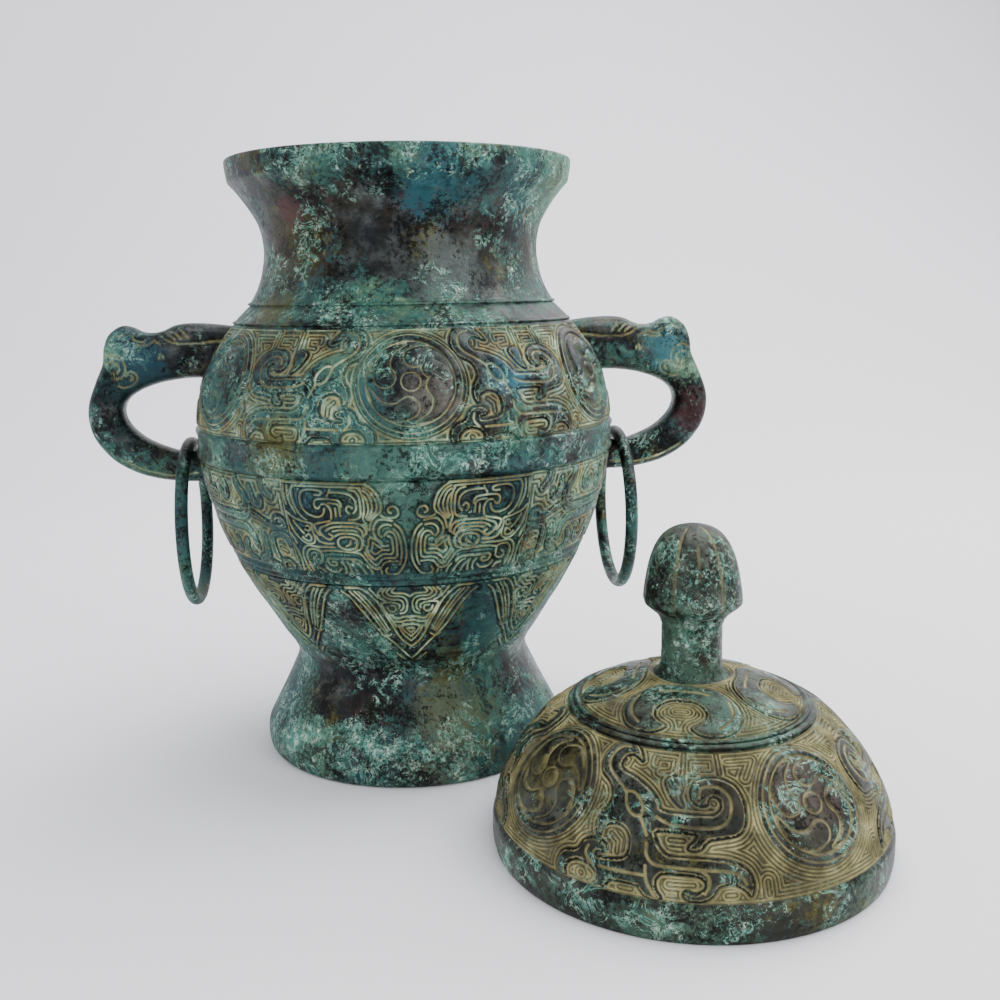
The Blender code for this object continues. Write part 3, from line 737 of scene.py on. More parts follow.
# The ringing tree: it repeats one sector of a belt round the axis and joins the repeats
ringing, ring_in = new_tree("ring_of_sectors", [
    ("Axis", "NodeSocketVector"), ("Count", "NodeSocketInt"), ("Finish", "NodeSocketMaterial")])
ring_points = add_node(ringing, "GeometryNodeMeshLine", {
    "Count": ring_in["Count"], "Offset": (0.0, 0.0, 0.0)})
ring_step = add_node(ringing, "ShaderNodeMath", {
    0: 2 * math.pi, 1: ring_in["Count"]}, operation="DIVIDE")
ring_index = add_node(ringing, "GeometryNodeInputIndex")
ring_angle = add_node(ringing, "ShaderNodeMath", {
    0: ring_index.outputs[0], 1: ring_step.outputs[0]}, operation="MULTIPLY")
ring_turn = add_node(ringing, "ShaderNodeCombineXYZ", {"Z": ring_angle.outputs[0]})
ring_copies = add_node(ringing, "GeometryNodeInstanceOnPoints", {
    "Points": ring_points.outputs[0], "Instance": ring_in["Geometry"],
    "Rotation": ring_turn.outputs[0]})
ring_moved = add_node(ringing, "GeometryNodeTransform", {
    "Geometry": ring_copies.outputs[0], "Translation": ring_in["Axis"]})
end_tree(ringing, ring_moved.outputs[0], 0.01 * MM, ring_in["Finish"])


def belt(name, profile, start, down, nominal, us, vs, drawing, turn, triangles, count, axis,
         finish):
    """A belt from the height and earth of one repeat, thinned and then repeated round the axis."""
    sector = sector_mesh(name + "_sector", profile, start, down, nominal, us, vs, *drawing, turn)
    return grown(name, thinned(sector, len(us), triangles / count), ringing, {
        "Axis": axis, "Count": count, "Finish": finish})


def edges_of(vs, down=1.0):
    """Distance in mm to the nearer edge of a belt, for each row of its grid."""
    return np.minimum(vs - vs[0], vs[-1] - vs)[:, None] * down


def edge_dip(vs, height, margin=0.9, dip=0.5):
    """A belt whose upper and lower edges sink under the plain lines that border it."""
    return (height + dip) * ease(edges_of(vs), 0.0, margin) - dip


half_us = np.linspace(0.0, UNIT, round(UNIT / GRID) + 1)


def both_ways(half):
    """Places along half a drawing and along its mirror image."""
    return np.concatenate([-half[:0:-1], half])


def mirrored(half):
    """A half drawing and its mirror image, as one drawing."""
    return np.hstack([half[:, :0:-1], half])


full_us = both_ways(half_us)


def across_belt(profile, distances, nominal):
    """How far a nominal mm round a belt reaches on the wall, at distances down its profile."""
    return down_profile(profile, profile, distances)[:, 0] / nominal


def dragon_belt(profile, start, down, nominal, vs, centre_v, radius, heads, pitch):
    """Height and earth of two units of a belt: a whorl with a dragon on each side that faces it."""
    across = across_belt(profile, start + vs * down, nominal)
    dragons = mirrored(plates(half_us, vs, DRAGON, across, down))
    seed_lines = [pen(seed, turns=1) for seed in DRAGON_SEEDS]
    seeds = mirrored(near_lines(half_us, vs, seed_lines, across, down))
    cut_lines = [pen(line, CUT_HALF) for line in DRAGON_CUTS]
    cuts = mirrored(near_lines(half_us, vs, cut_lines, across, down, reach=2.0))
    whorls = [whorl(full_us, vs, centre, centre_v, across, down, radius, heads)
              for centre in (-UNIT, 0.0, UNIT)]
    rim = np.minimum.reduce([each[0] for each in whorls])
    ground = np.minimum.reduce([np.where(dragons > 0, dragons, FAR), np.abs(seeds), np.abs(rim),
                                edges_of(vs, down) + 0 * dragons])
    height, earth = relief(np.maximum(dragons, BOSS_GAP - rim), ground, cuts, pitch)
    for distance, boss, boss_earth in whorls:
        height = np.where(distance < 0, boss, height)
        earth = np.where(distance < 0, boss_earth, earth)
    return edge_dip(vs, height), earth


shoulder_vs = np.arange(*SHOULDER_EDGES, GRID)
shoulder_drawing = dragon_belt(shoulder_top_down, 0.0, SHOULDER_DOWN, NOMINAL, shoulder_vs,
                               SHOULDER_BOSS, SHOULDER_BOSS_RADIUS, SHOULDER_COMMAS, SHOULDER_PITCH)
shoulder_belt = belt("shoulder_belt", shoulder_top_down, 0.0, SHOULDER_DOWN, NOMINAL, full_us,
                     shoulder_vs, shoulder_drawing, 0.0, BELT_TRIANGLES, 3, jar_axis, jar_bronze)
carried(shoulder_belt, "jar", "jar")


# The belly's belt: three horned animal masks cast with the wall, drawn in raised lines, each
# between two grooves that are darkened with painted black shade. Between them stand creatures
# in profile, as plates on echoing ridges.
BELLY_START = -3.0
BELLY_TURN = -3.0 / NOMINAL
BELLY_EDGES = (4.6, 51.4)
BELLY_PITCH = 2.0
MASK_END = 56.4
MASK_LINE = 0.28

# Half of a mask, in mm round the belt from its middle and down from the belt's start
MASK = [
    [(56, 5.3), (40, 5.3), (20, 5.3), (17.5, 5.7), (15, 7.4), (13, 10), (11.8, 13.2), (11.3, 16),
     (12, 18.5), (14, 20.3), (15.6, 22.2), (16.5, 24.5), (17, 27)],
    [(18.4, 6.9), (16.4, 8), (14.9, 10), (13.6, 12.6), (13, 15.5), (13.6, 18), (15.2, 20),
     (16.8, 22.2)],
    [(18.6, 8.4), (17, 9.4), (15.9, 11.5), (15.1, 14.5), (15.4, 17.8), (16.6, 20.3), (17.6, 22)],
    [(19, 10), (17.6, 11.6), (16.8, 15), (17, 18.3), (18.1, 21)],
    [(50.4, 6.9), (46, 6.8), (22, 6.9), (20.1, 8), (19, 10.5), (18.5, 14), (18.7, 18.5),
     (19.4, 21.2), (18.8, 23.6), (18.2, 26), (18.6, 28.8), (20.2, 30)],
    [(24.6, 8), (22.2, 8.6), (20.6, 10.6), (20.2, 13), (20.1, 18), (20.6, 20.6), (22.4, 21.8),
     (25.6, 22.1)],
    [(33, 8.2), (33.5, 9.6), (34.5, 11.2)],
    [(33.2, 9.4), (30, 9.3), (26, 9.8), (23.6, 10.9), (22.2, 12.9), (21.9, 15.5), (22.3, 17.6),
     (23.4, 19)],
    [(23.8, 16.6), (25, 15.6), (26.2, 16.4), (26.4, 17.8), (25.5, 19.2)],
    [(28.6, 16), (28.8, 14.2), (30, 13), (34, 12.5), (38, 12.6), (40, 13.2), (40.8, 14.7),
     (40.5, 16.6), (39.3, 17.3), (38.4, 16.2)],
    [(29.4, 20.4), (29.6, 15.8), (31, 14.6), (34.4, 14.3)],
    [(31.4, 20.6), (31.4, 16.8)],
    [(33.8, 22), (33.4, 18.8), (34.2, 16.2), (35.8, 14.9), (37.4, 15.1)],
    [(40.3, 10.7), (38, 10.8), (36.9, 9.8), (37.4, 8.9), (40, 8.4), (43.5, 8.4), (46, 9.3),
     (47.3, 11.3), (47.6, 14), (47, 17), (45.2, 19.6), (42.5, 21), (40, 21.3), (37.8, 20.4),
     (36.7, 18.6), (36.5, 17)],
    [(50.4, 6.9), (51.6, 9.4), (51.4, 13.5), (50.4, 17.5), (48.4, 21), (46, 23)],
    [(34.6, 23), (37, 23.6), (40, 24.3), (42.2, 25.2), (42.6, 26.6), (41.8, 28.8), (40.6, 30.4)],
    [(18.6, 29), (19, 26.6), (20, 25), (22, 24), (25, 23.7), (33, 23.9), (37, 25.4), (39.6, 26.6),
     (40.4, 28.6), (38.8, 31), (36.6, 32.4), (34.8, 31.8), (34.6, 30.4), (36, 29.6)],
    [(20.2, 30.4), (20.6, 27.6), (22.6, 26), (25, 25.6), (32, 25.8), (36, 27), (37.4, 28.2)],
    [(23, 28), (25, 27.4), (31, 27.5), (34, 28.2)],
    [(24.4, 38), (22, 36.8), (20.9, 34), (21.3, 31.2), (23.2, 29.6), (27, 29), (31, 29.4),
     (33.6, 30.8)],
    [(23.2, 34.2), (23.6, 32.2), (25.6, 31), (28.5, 30.8), (31.2, 31.6), (32.4, 33.4), (32, 35.6),
     (30, 37), (26.8, 37.2), (24.2, 36.2), (23.2, 34.2)],
    [(26.2, 33), (26.6, 34.4), (28.6, 35.6)],
    [(20.4, 42.4), (21.6, 40.2), (24, 38.8), (27, 38.6), (33, 38.2), (37, 38.2), (40, 38.6),
     (42.2, 39), (44, 38), (47, 38), (49, 39.4), (50, 42), (49.4, 46), (48.4, 49.6)],
    [(34.4, 36.4), (38.6, 36.4), (43, 36.6), (48, 36.2), (51, 38.4), (52, 42), (51.4, 47),
     (50.2, 50.6)],
    [(34.6, 34.4), (38, 34.6), (41.6, 33.4), (42.6, 31)],
    [(22.2, 44.8), (24, 42.8), (27, 42.4), (33, 42.6), (38.6, 42.6), (39.4, 44), (38.4, 45.8),
     (36, 46.3), (35, 45.4), (35.4, 44.2), (37, 44.2)],
    [(20.8, 50.8), (22.4, 47.6), (24.4, 44.9), (26.6, 43.8)],
    [(24.8, 50), (26.4, 46.8), (27.8, 45.4)],
    [(28.4, 50.4), (28.4, 46.8), (29.2, 44.6)],
    [(32.4, 44.4), (31, 46.2), (30.8, 49), (31.8, 51.4)],
    [(33.2, 47.6), (34.6, 49.3), (37, 49.7), (39.6, 48.8), (41.2, 46.8)],
    [(42.2, 39.2), (42.1, 42), (42.6, 44.4), (44.6, 45.6), (46.4, 44.8), (46.6, 42.8),
     (45.2, 41.8)],
    [(41.8, 50.6), (43.4, 48.4), (46, 48)],
    [(7.2, 19), (8.4, 18), (8, 16.4), (6.6, 15.8), (5, 16.5), (4.1, 18.2), (4.4, 20), (5.8, 21.1),
     (8, 21.1), (10, 21), (11.6, 20)],
    [(7, 22.6), (10, 22), (12.4, 22), (14, 23.4), (15.2, 25.8), (15.4, 28.5), (14.4, 31.2),
     (12.2, 33.6)],
    [(7.4, 24.9), (9.4, 24.4), (11.4, 25), (12.8, 26.6), (13.1, 28.8), (12, 30.6)],
    [(5.8, 24.4), (3.8, 26.4), (2.5, 29.4), (1.6, 33), (1.2, 37), (1.3, 41), (2.2, 44.6),
     (3.8, 47.6), (5.4, 49.8), (8, 50.8), (10.4, 50.2), (11.3, 48.4), (10.4, 46.8)],
    [(6.4, 26.8), (4.8, 28.9), (3.9, 32), (3.3, 36), (3.4, 40), (4, 43.4), (4.8, 45.2)],
    [(10.8, 30), (9.6, 28.4), (7.8, 28), (6.2, 29.4), (5.5, 32), (5.3, 36), (5.4, 39.6),
     (6.4, 41.4), (10, 41.4), (12.6, 42.2), (14.2, 44.4), (15.8, 45.4), (17.6, 43.4), (19, 41.2),
     (20.4, 38.6)],
    [(9.2, 30.2), (7.8, 31), (7.2, 34), (7.2, 38), (8.4, 39.4), (12, 39.4), (14.8, 41.4),
     (16, 42.4), (17.6, 40.8), (18.9, 38.6), (19.4, 36.6), (18.2, 34.6), (17.9, 31.8), (16.4, 31),
     (13.6, 33), (11.8, 35.2), (9.4, 35.2)],
    [(9.2, 37.3), (12.6, 37.4), (15.4, 39.4), (17.3, 37.6), (16.4, 35.6), (16.2, 33.4), (14, 35.2),
     (12.4, 36.2)],
    [(5.4, 43.4), (9.4, 43.2), (12, 44.4), (13.4, 46.6), (15.6, 47.6), (17.8, 46.4), (19, 44.6),
     (20.4, 42.2)],
    [(13.2, 50.8), (13.6, 48.4)],
    [(17.6, 50.8), (18.4, 48), (20, 46)],
    [(43.6, 25), (44, 28), (43.4, 31), (44, 34), (46.2, 35.2), (49, 34.8), (52, 32), (54.4, 28),
     (55.4, 23.5), (56, 19.5), (52.6, 22.2), (48, 23.9), (45, 24.4), (43.6, 25)],
    [(46.9, 26.2), (45.4, 25.9), (44.9, 27.4), (46, 28.6), (47.6, 28)],
    [(48, 31.4), (46.4, 30.2), (45.2, 31.6), (45.8, 33.4), (47.8, 33.6), (49.8, 32)],
    [(48.6, 30), (51, 27), (53, 23.8)],
    [(53.2, 6.9), (53.6, 12), (52.6, 16.4), (50.8, 20)],
    [(55.2, 6.9), (55.5, 12), (55, 16)],
    [(53.8, 35.4), (54.8, 32.8), (56, 30.4)],
    [(54, 50), (53.8, 44), (54.6, 39), (56.2, 35)],
]

# The creatures beside the mask: their plates, places that the ridges echo as well, and their
# limbs as strokes of (along, down, half width)
BEASTS = [
    [(57.9, 27.7), (58.2, 25.1), (59.5, 23.1), (62.1, 22.4), (64.3, 23.9), (64.9, 26.2),
     (63.8, 25.8), (63.1, 24.1), (61.5, 23.8), (60.2, 25.1), (60.2, 26.7), (62.1, 27.3),
     (66.5, 26.6), (70.9, 25.1), (74.2, 23.2), (78.8, 21.4), (78.8, 24.1), (74.2, 25.6),
     (68.5, 27.9), (63.6, 28.7), (59.4, 28.6)],
    [(56.8, 36.7), (57.3, 33.5), (59.4, 31.4), (63.1, 30.6), (67, 31.1), (69.4, 33), (70.1, 36.7),
     (69.7, 40.9), (69, 44.6), (67.5, 44.6), (68.2, 39.8), (68, 35.6), (66.5, 33.5), (63.1, 32.6),
     (59.9, 33.5), (58.9, 35.6), (58.4, 37.7)],
    [(59.6, 50.4), (59.5, 47.7), (61, 45.8), (63.6, 45.1), (66.1, 46.1), (66.8, 48.3), (66.8, 50.4),
     (65.9, 50.4), (65.5, 47.7), (63.6, 46.8), (61.3, 47.8), (61, 50.4)],
]
BEAST_SEEDS = [
    [(54, 9.6), (57, 9.4), (61, 9.2), (61.2, 12)],
    [(61.6, 41), (64.7, 39.6)],
]
BEAST_LIMBS = [
    [(68.4, 4.4, 1), (67.1, 9.6, 1.8), (63.7, 12.8, 1.6)],
    [(85.8, 5.4, 1), (84.5, 10.6, 1.8), (81.1, 15.2, 1.9), (82.4, 19.6, 1.5), (86.1, 20.2, 0.9)],
    [(104.7, 25.6, 1.5), (95, 25.4, 1.7), (87.8, 25.6, 1.8), (82.2, 23.2, 1.8), (79, 17.6, 1.2)],
    [(76.1, 9.4, 0.8), (75.9, 13.6, 1.4), (74.8, 17.4, 1.5), (71.4, 17.8, 1.3), (70.1, 14.8, 1)],
    [(73.8, 33.6, 0.9), (74.8, 39, 1.5), (76.1, 44.4, 1.6), (81.8, 47.6, 1.2)],
    [(104.7, 30.8, 1.5), (95, 30.6, 1.8), (86.5, 30.9, 1.9), (82.4, 34.8, 1.8), (81.8, 41, 1.2)],
    [(77.9, 50.2, 0.9), (74.2, 48.8, 1.3), (70.1, 49.8, 1)],
    [(89.7, 38.4, 0.9), (92.9, 42.6, 1.7), (91.4, 48, 1.6), (87.3, 48.6, 0.9)],
    [(96.6, 8.6, 1), (95.1, 13.6, 1.7), (99, 16.8, 1.4), (101.4, 13.2, 0.8)],
    [(98.8, 38.6, 0.9), (100.4, 44, 1.5), (104.7, 46, 1.5)],
]


def drawn(lines):
    """Height and earth of raised lines, each between two grooves, on a smooth bed. Earth is
    negative in the grooves, where the material paints black shade.
    """
    ridge = 1 - ease(lines, 0.0, 0.5)
    groove_and_shade = 1 - ease(np.abs(lines - 0.8), 0.15, 0.6)
    height = np.maximum(0.45 - 0.75 * groove_and_shade, 0.95 * ridge)
    return height, np.where(ridge > groove_and_shade, ridge, -0.9 * groove_and_shade)


def mask_belt(profile, start, vs):
    """Height and earth of one mask and the beasts beside it."""
    across = across_belt(profile, start + vs, NOMINAL)
    face = near_lines(half_us, vs, [pen(line, MASK_LINE) for line in MASK], across, reach=3.0)
    beasts = np.minimum(plates(half_us, vs, BEASTS, across),
                        near_lines(half_us, vs, [pen(line) for line in BEAST_LIMBS], across))
    seeds = near_lines(half_us, vs, [pen(seed, turns=1) for seed in BEAST_SEEDS], across)
    sides = np.abs(half_us - MASK_END)[None, :] + 0 * face
    ground = np.minimum.reduce([np.abs(beasts), np.abs(seeds), edges_of(vs) + 0 * face, sides])
    face_height, face_earth = drawn(face)
    height, earth = relief(beasts, ground, np.full_like(face, FAR), BELLY_PITCH)
    on_face = half_us < MASK_END
    return (edge_dip(vs, mirrored(np.where(on_face, face_height, height))),
            mirrored(np.where(on_face, face_earth, earth)))


belly_vs = np.arange(*BELLY_EDGES, GRID)
belly_belt = belt("belly_belt", belly_top_down, BELLY_START, 1.0, NOMINAL, full_us, belly_vs,
                  mask_belt(belly_top_down, BELLY_START, belly_vs), BELLY_TURN, BELT_TRIANGLES, 3,
                  jar_axis, jar_bronze)
carried(belly_belt, "jar", "jar")


# The hanging blades: eight pendent triangles cast with the wall below the double line, each a
# broad band drawn to a point round a pair of curls, in raised lines between grooves. They fade
# into the plain waist.
BLADES = 8
BLADE_START = 49.5
BLADE_TURN = math.radians(-2.0)
BLADE_EDGES = (6.0, 56.6)
BLADE_FADING = (50.0, 56.0)
BLADE_TRIANGLES = 118000

# Half of a blade, in mm round the belt from its middle and down from the belt's start
BLADE = [
    [(33.6, 6.2), (31.5, 6.4), (26, 6.3), (22.4, 8.5), (17.8, 14), (14.2, 22.2), (10.5, 30.4),
     (7.8, 36.7), (4.2, 41.3), (0, 44.5)],
    [(36, 8.4), (32, 12), (26.5, 21.5), (21, 31), (16, 37), (10.5, 42.6), (5, 48.6), (0, 53.6)],
    [(31.4, 8.4), (28.2, 12.5), (23.4, 20), (18.9, 28.8), (15.7, 34.8)],
    [(28.8, 8.2), (25.6, 12.4), (21, 20.4), (17, 28.6), (14.3, 34)],
    [(26.6, 8.4), (23.2, 12.2), (18.8, 19.8), (15.2, 27.8), (12.9, 33)],
    [(18.4, 36), (15.5, 37.6), (12.2, 36)],
    [(9.6, 5.8), (11.9, 8.5), (9.6, 10.8), (4.2, 11.1), (1.7, 13.6), (1.5, 17.6), (2.6, 21),
     (5.4, 22)],
    [(7.4, 5.8), (9.3, 8), (7.4, 9.1), (3, 9.3), (0, 11.2)],
    [(14.2, 6.4), (16.4, 9), (15.4, 12.4), (13, 13.6)],
    [(12, 6.2), (14, 8.8), (12.8, 11.4), (9.4, 13), (5.4, 13.2), (3.7, 14.9), (3.6, 18.4), (5, 20)],
    [(14.9, 18), (15.4, 15.8), (13.2, 14.8), (8.4, 15), (5.7, 16.6), (6, 18.6)],
    [(14.6, 18.2), (12.6, 22.4), (10.2, 27), (8.6, 30.8)],
    [(10.4, 16.9), (8.2, 17.1), (7.7, 19.4), (9.4, 20.9), (11.6, 20), (12.4, 17.8)],
    [(10.9, 22.4), (9, 25), (6.4, 25.2), (3.4, 24.2), (0, 24.4)],
    [(8.9, 27.2), (5.6, 27.6), (2.8, 26.6), (0, 26.7)],
    [(7.1, 30.4), (5.4, 34.6), (2.8, 38), (0, 40.6)],
    [(0, 29.2), (3.2, 29.6), (5.4, 30.6), (3.6, 34), (0, 37.4)],
    [(0, 31.8), (2.4, 32.2), (0, 34.8)],
    [(20.6, 6.4), (18.3, 9.4), (16.9, 12)],
    [(10, 49.6), (5, 54.2), (3, 56.4)],
]

blade_half = math.pi / BLADES * NOMINAL
blade_us = np.linspace(0.0, blade_half, round(blade_half / GRID) + 1)
blade_vs = np.arange(*BLADE_EDGES, GRID)
blade_across = across_belt(belly_top_down, BLADE_START + blade_vs, NOMINAL)
blade_lines = near_lines(blade_us, blade_vs, [pen(line, CUT_HALF) for line in BLADE],
                         blade_across, reach=3.0)
blade_height, blade_earth = drawn(blade_lines)
fading = 0.3 + 0.7 * (1 - ease(blade_vs, *BLADE_FADING)[:, None])
blade_height = mirrored(blade_height * fading)
# The belt's lower edge slopes under the wall, and its upper edge under the double line
blade_height = np.minimum(blade_height, (blade_vs[-1] - blade_vs)[:, None] * 0.25)
blade_height *= ease(blade_vs - blade_vs[0], -0.4, 0.8)[:, None]
blade_belt = belt("blade_belt", belly_top_down, BLADE_START, 1.0, NOMINAL, both_ways(blade_us),
                  blade_vs, (blade_height, mirrored(blade_earth * fading)), BLADE_TURN,
                  BLADE_TRIANGLES, BLADES, jar_axis, jar_bronze)
carried(blade_belt, "jar", "jar")


# The handles: each a beast's head and neck cast solid with the wall, flat-sided, with a horn
# laid back to the wall, an eye under a raised brow, a blunt snout and scrolls cut into its
# cheeks. The lower arm is plain where the ring hangs.
HANDLE_AROUND = 112
HANDLE_STEPS = 11
SQUARENESS = 2.9

# Sections down the loop, in mm out from the jar's axis and up: inner edge, outer edge and half
# the thickness
HANDLE_LOOP = [
    ((99.6, 194.6), (86.0, 220.6), 10.4),
    ((104.6, 194.9), (98.0, 222.0), 10.6),
    ((109.4, 194.8), (108.0, 222.3), 10.7),
    ((113.8, 194.4), (114.6, 221.4), 10.6),
    ((117.8, 193.8), (120.0, 219.0), 10.4),
    ((122.2, 193.0), (125.0, 217.9), 10.2),
    ((127.2, 191.6), (130.6, 218.4), 10.0),
    ((131.2, 190.2), (135.6, 220.8), 9.8),
    ((134.6, 188.5), (141.0, 221.4), 9.5),
    ((137.6, 186.7), (147.0, 217.4), 9.3),
    ((139.8, 184.6), (149.9, 210.8), 9.2),
    ((141.2, 182.6), (150.9, 203.4), 9.0),
    ((142.0, 180.4), (155.0, 194.2), 8.8),
    ((142.2, 178.2), (158.9, 184.4), 8.7),
    ((141.6, 175.2), (160.0, 176.6), 8.6),
    ((139.8, 171.6), (158.6, 168.0), 8.5),
    ((136.6, 168.0), (154.6, 160.4), 8.3),
    ((131.4, 164.0), (147.0, 152.4), 7.9),
    ((123.4, 160.2), (134.6, 145.8), 7.5),
    ((115.0, 157.6), (119.0, 142.4), 7.2),
    ((103.6, 157.0), (101.2, 141.6), 7.2),
]

# Raised on the cheeks: the horn, the leaf behind the jaw, its two curls and the end of the
# snout; then the lines cut into the cheeks
CHEEK_PLATES = [
    [(80, 228), (80, 214.8), (95, 213.8), (103.3, 212.8), (113.3, 213.2), (118.4, 215.8),
     (120.8, 219.6), (119, 228)],
    [(106.2, 211.4), (110, 207.4), (115, 205), (118.6, 203.8), (118.2, 200.4), (115, 199.6),
     (111.4, 201.2), (109.0, 204.6)],
    [(120.8, 208.8), (124, 206.6), (123.8, 203.4), (120.8, 202.2), (118.2, 204), (118.2, 207.2)],
    [(121.6, 202.6), (123.6, 200.6), (121.8, 198.2), (119.4, 199.4), (119.6, 201.8)],
    [(134.2, 211.0), (140, 212.6), (146.4, 211.4), (148.2, 216.6), (143.8, 221.6), (138.4, 222.6),
     (134.0, 219.6)],
]
CHEEK_LINES = [
    [(84, 214.4), (95, 213.4), (103.3, 212.4), (113.3, 212.8), (119.2, 215.3), (120.9, 219.4)],
    [(107.0, 215.4), (109.4, 218.2), (112.8, 221.4)],
    [(110.4, 214.8), (112.8, 217.4), (116.6, 220.0)],
    [(113.8, 214.6), (115.8, 216.6), (118.6, 217.8)],
    [(126.8, 216.6), (128.6, 218.6), (132.2, 218.4), (134.4, 216.2), (132.6, 214.2), (129.0, 213.8),
     (126.8, 216.6)],
    [(123.2, 219.6), (124.4, 216.8), (123.8, 214.4), (121.0, 212.4)],
    [(124.4, 213.6), (128.2, 212.0), (133.0, 212.2)],
    [(136.9, 219.0), (141.1, 216.6), (147.4, 216.4)],
    [(148.4, 206.6), (144.4, 207.6), (140.2, 205.2), (138.8, 200.6), (140.8, 196.4),
     (145.0, 195.4)],
    [(146.6, 203.8), (143.6, 204.0), (141.6, 201.4), (142.8, 198.6), (145.4, 198.4)],
    [(138.6, 196.8), (136.8, 199.0), (133.9, 198.0), (133.6, 194.9), (136.0, 192.4), (140.0, 191.2),
     (142.6, 192.0)],
    [(136.4, 197.2), (135.6, 195.8), (136.8, 194.8)],
    [(121.2, 205.4), (122.2, 206.4), (120.6, 207.2), (119.4, 205.6)],
    [(108.0, 146.9), (118.4, 145.6), (133.2, 149.0), (145.0, 154.8)],
]


def lofted(name, rows, earths, finish, node):
    """A piece on the jar's body with a smooth skin through rings of points, its two ends filled."""
    count = len(rows[0])
    faces = []
    for ring in range(len(rows) - 1):
        for index in range(count):
            following = (index + 1) % count
            faces.append((ring * count + index, ring * count + following,
                          (ring + 1) * count + following, (ring + 1) * count + index))
    faces.append(tuple(range(count))[::-1])
    faces.append(tuple(range((len(rows) - 1) * count, len(rows) * count)))
    mesh = bpy.data.meshes.new(name)
    mesh.from_pydata((np.vstack(rows) * MM).tolist(), [], faces)
    build = bmesh.new()
    build.from_mesh(mesh)
    bmesh.ops.recalc_face_normals(build, faces=build.faces)
    build.to_mesh(mesh)
    build.free()
    mesh.shade_smooth()
    mark_earth_and_shade(mesh, earths)
    mesh.materials.append(finish)
    piece = bpy.data.objects.new(name, mesh)
    bpy.context.scene.collection.objects.link(piece)
    carried(piece, "jar", node)


CHEEK_GRID, CHEEK_LINE_HALF = 0.25, 0.35
CHEEK_RISE, CHEEK_DEPTH = 1.1, 0.65
cheek_xs = np.arange(80.0, 164.0, CHEEK_GRID)
cheek_zs = np.arange(138.0, 226.0, CHEEK_GRID)
level = np.ones(len(cheek_zs))
cheek_plate = plates(cheek_xs, cheek_zs, CHEEK_PLATES, level)
cheek_line = near_lines(cheek_xs, cheek_zs, [pen(line, CHEEK_LINE_HALF) for line in CHEEK_LINES],
                        level, reach=3.0)
cheek_cut = 1 - ease(cheek_line, 0.0, 0.5)
cheek_rise = CHEEK_RISE * ease(-cheek_plate, -0.2, 1.4) - CHEEK_DEPTH * cheek_cut



def squared(wave):
    """The sine or cosine of a squared circle, whose sides stay nearly flat."""
    return np.sign(wave) * np.abs(wave) ** (2 / SQUARENESS)


def cheek_places(distances, grid):
    """The grid lines nearest to these distances."""
    return np.clip(np.rint((distances - grid[0]) / CHEEK_GRID).astype(int), 0, len(grid) - 1)


# The skin goes round each section as a squared circle. The carving stands on its two flat
# sides and dies out where the skin turns away from them.
handle_sections = smooth([(*inner, *outer, half) for inner, outer, half in HANDLE_LOOP],
                         HANDLE_STEPS)
handle_angles = np.linspace(0.0, 2 * np.pi, HANDLE_AROUND, endpoint=False)
handle_across, handle_out = squared(np.cos(handle_angles)), squared(np.sin(handle_angles))
on_cheek = np.sign(handle_out) * ease(np.abs(handle_out), 0.70, 0.93)

for side, side_name in ((-1, "left"), (1, "right")):
    handle_rows, handle_earths = [], []
    for x_in, z_in, x_out, z_out, half in handle_sections:
        x = (x_in + x_out) / 2 + (x_out - x_in) / 2 * handle_across
        z = (z_in + z_out) / 2 + (z_out - z_in) / 2 * handle_across
        place = cheek_places(z, cheek_zs), cheek_places(x, cheek_xs)
        y = half * handle_out + cheek_rise[place] * on_cheek
        handle_rows.append(np.column_stack([side * x + jar_axis.x / MM, y + jar_axis.y / MM, z]))
        handle_earths.append(cheek_cut[place] * np.abs(on_cheek))
    lofted(f"handle_{side_name}", handle_rows, handle_earths, jar_bronze, "jar")


# The rings: two plain hoops of cast round bronze wire. Each is bent open, threaded on the
# lower arm of a handle and closed by hand, so it hangs loose and swings.
RING_OUTER = 87.5
RING_WIRE = 6.5
RING_STEPS, WIRE_STEPS = 128, 28
# The drawn wire is a hair thinner than the solid's
WIRE_TRIM = 0.06

ring_growing, grow_in = new_tree("closed_wire_ring", [
    ("Centre", "NodeSocketVector"), ("Radius", "NodeSocketFloat"), ("Wire", "NodeSocketFloat"),
    ("Finish", "NodeSocketMaterial")])
grow_circle = add_node(ring_growing, "GeometryNodeCurvePrimitiveCircle", {
    "Resolution": RING_STEPS, "Radius": grow_in["Radius"]})
grow_section = add_node(ring_growing, "GeometryNodeCurvePrimitiveCircle", {
    "Resolution": WIRE_STEPS, "Radius": grow_in["Wire"]})
grow_swept = add_node(ring_growing, "GeometryNodeCurveToMesh", {
    "Curve": grow_circle.outputs[0], "Profile Curve": grow_section.outputs[0]})
grow_upright = add_node(ring_growing, "GeometryNodeTransform", {
    "Geometry": grow_swept.outputs[0], "Rotation": (0.0, math.pi / 2, 0.0),
    "Translation": grow_in["Centre"]})
end_tree(ring_growing, grow_upright.outputs[0], 0.01 * MM, grow_in["Finish"])

for ring_name in ("ring_left", "ring_right"):
    ring_low, ring_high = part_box(ring_name)
    ring = grown(ring_name + "_wire", bpy.data.meshes.new(ring_name), ring_growing, {
        "Centre": (ring_low + ring_high) / 2, "Radius": (RING_OUTER - RING_WIRE) / 2 * MM,
        "Wire": (RING_WIRE / 2 - WIRE_TRIM) * MM, "Finish": jar_bronze})
    carried(ring, ring_name, ring_name)


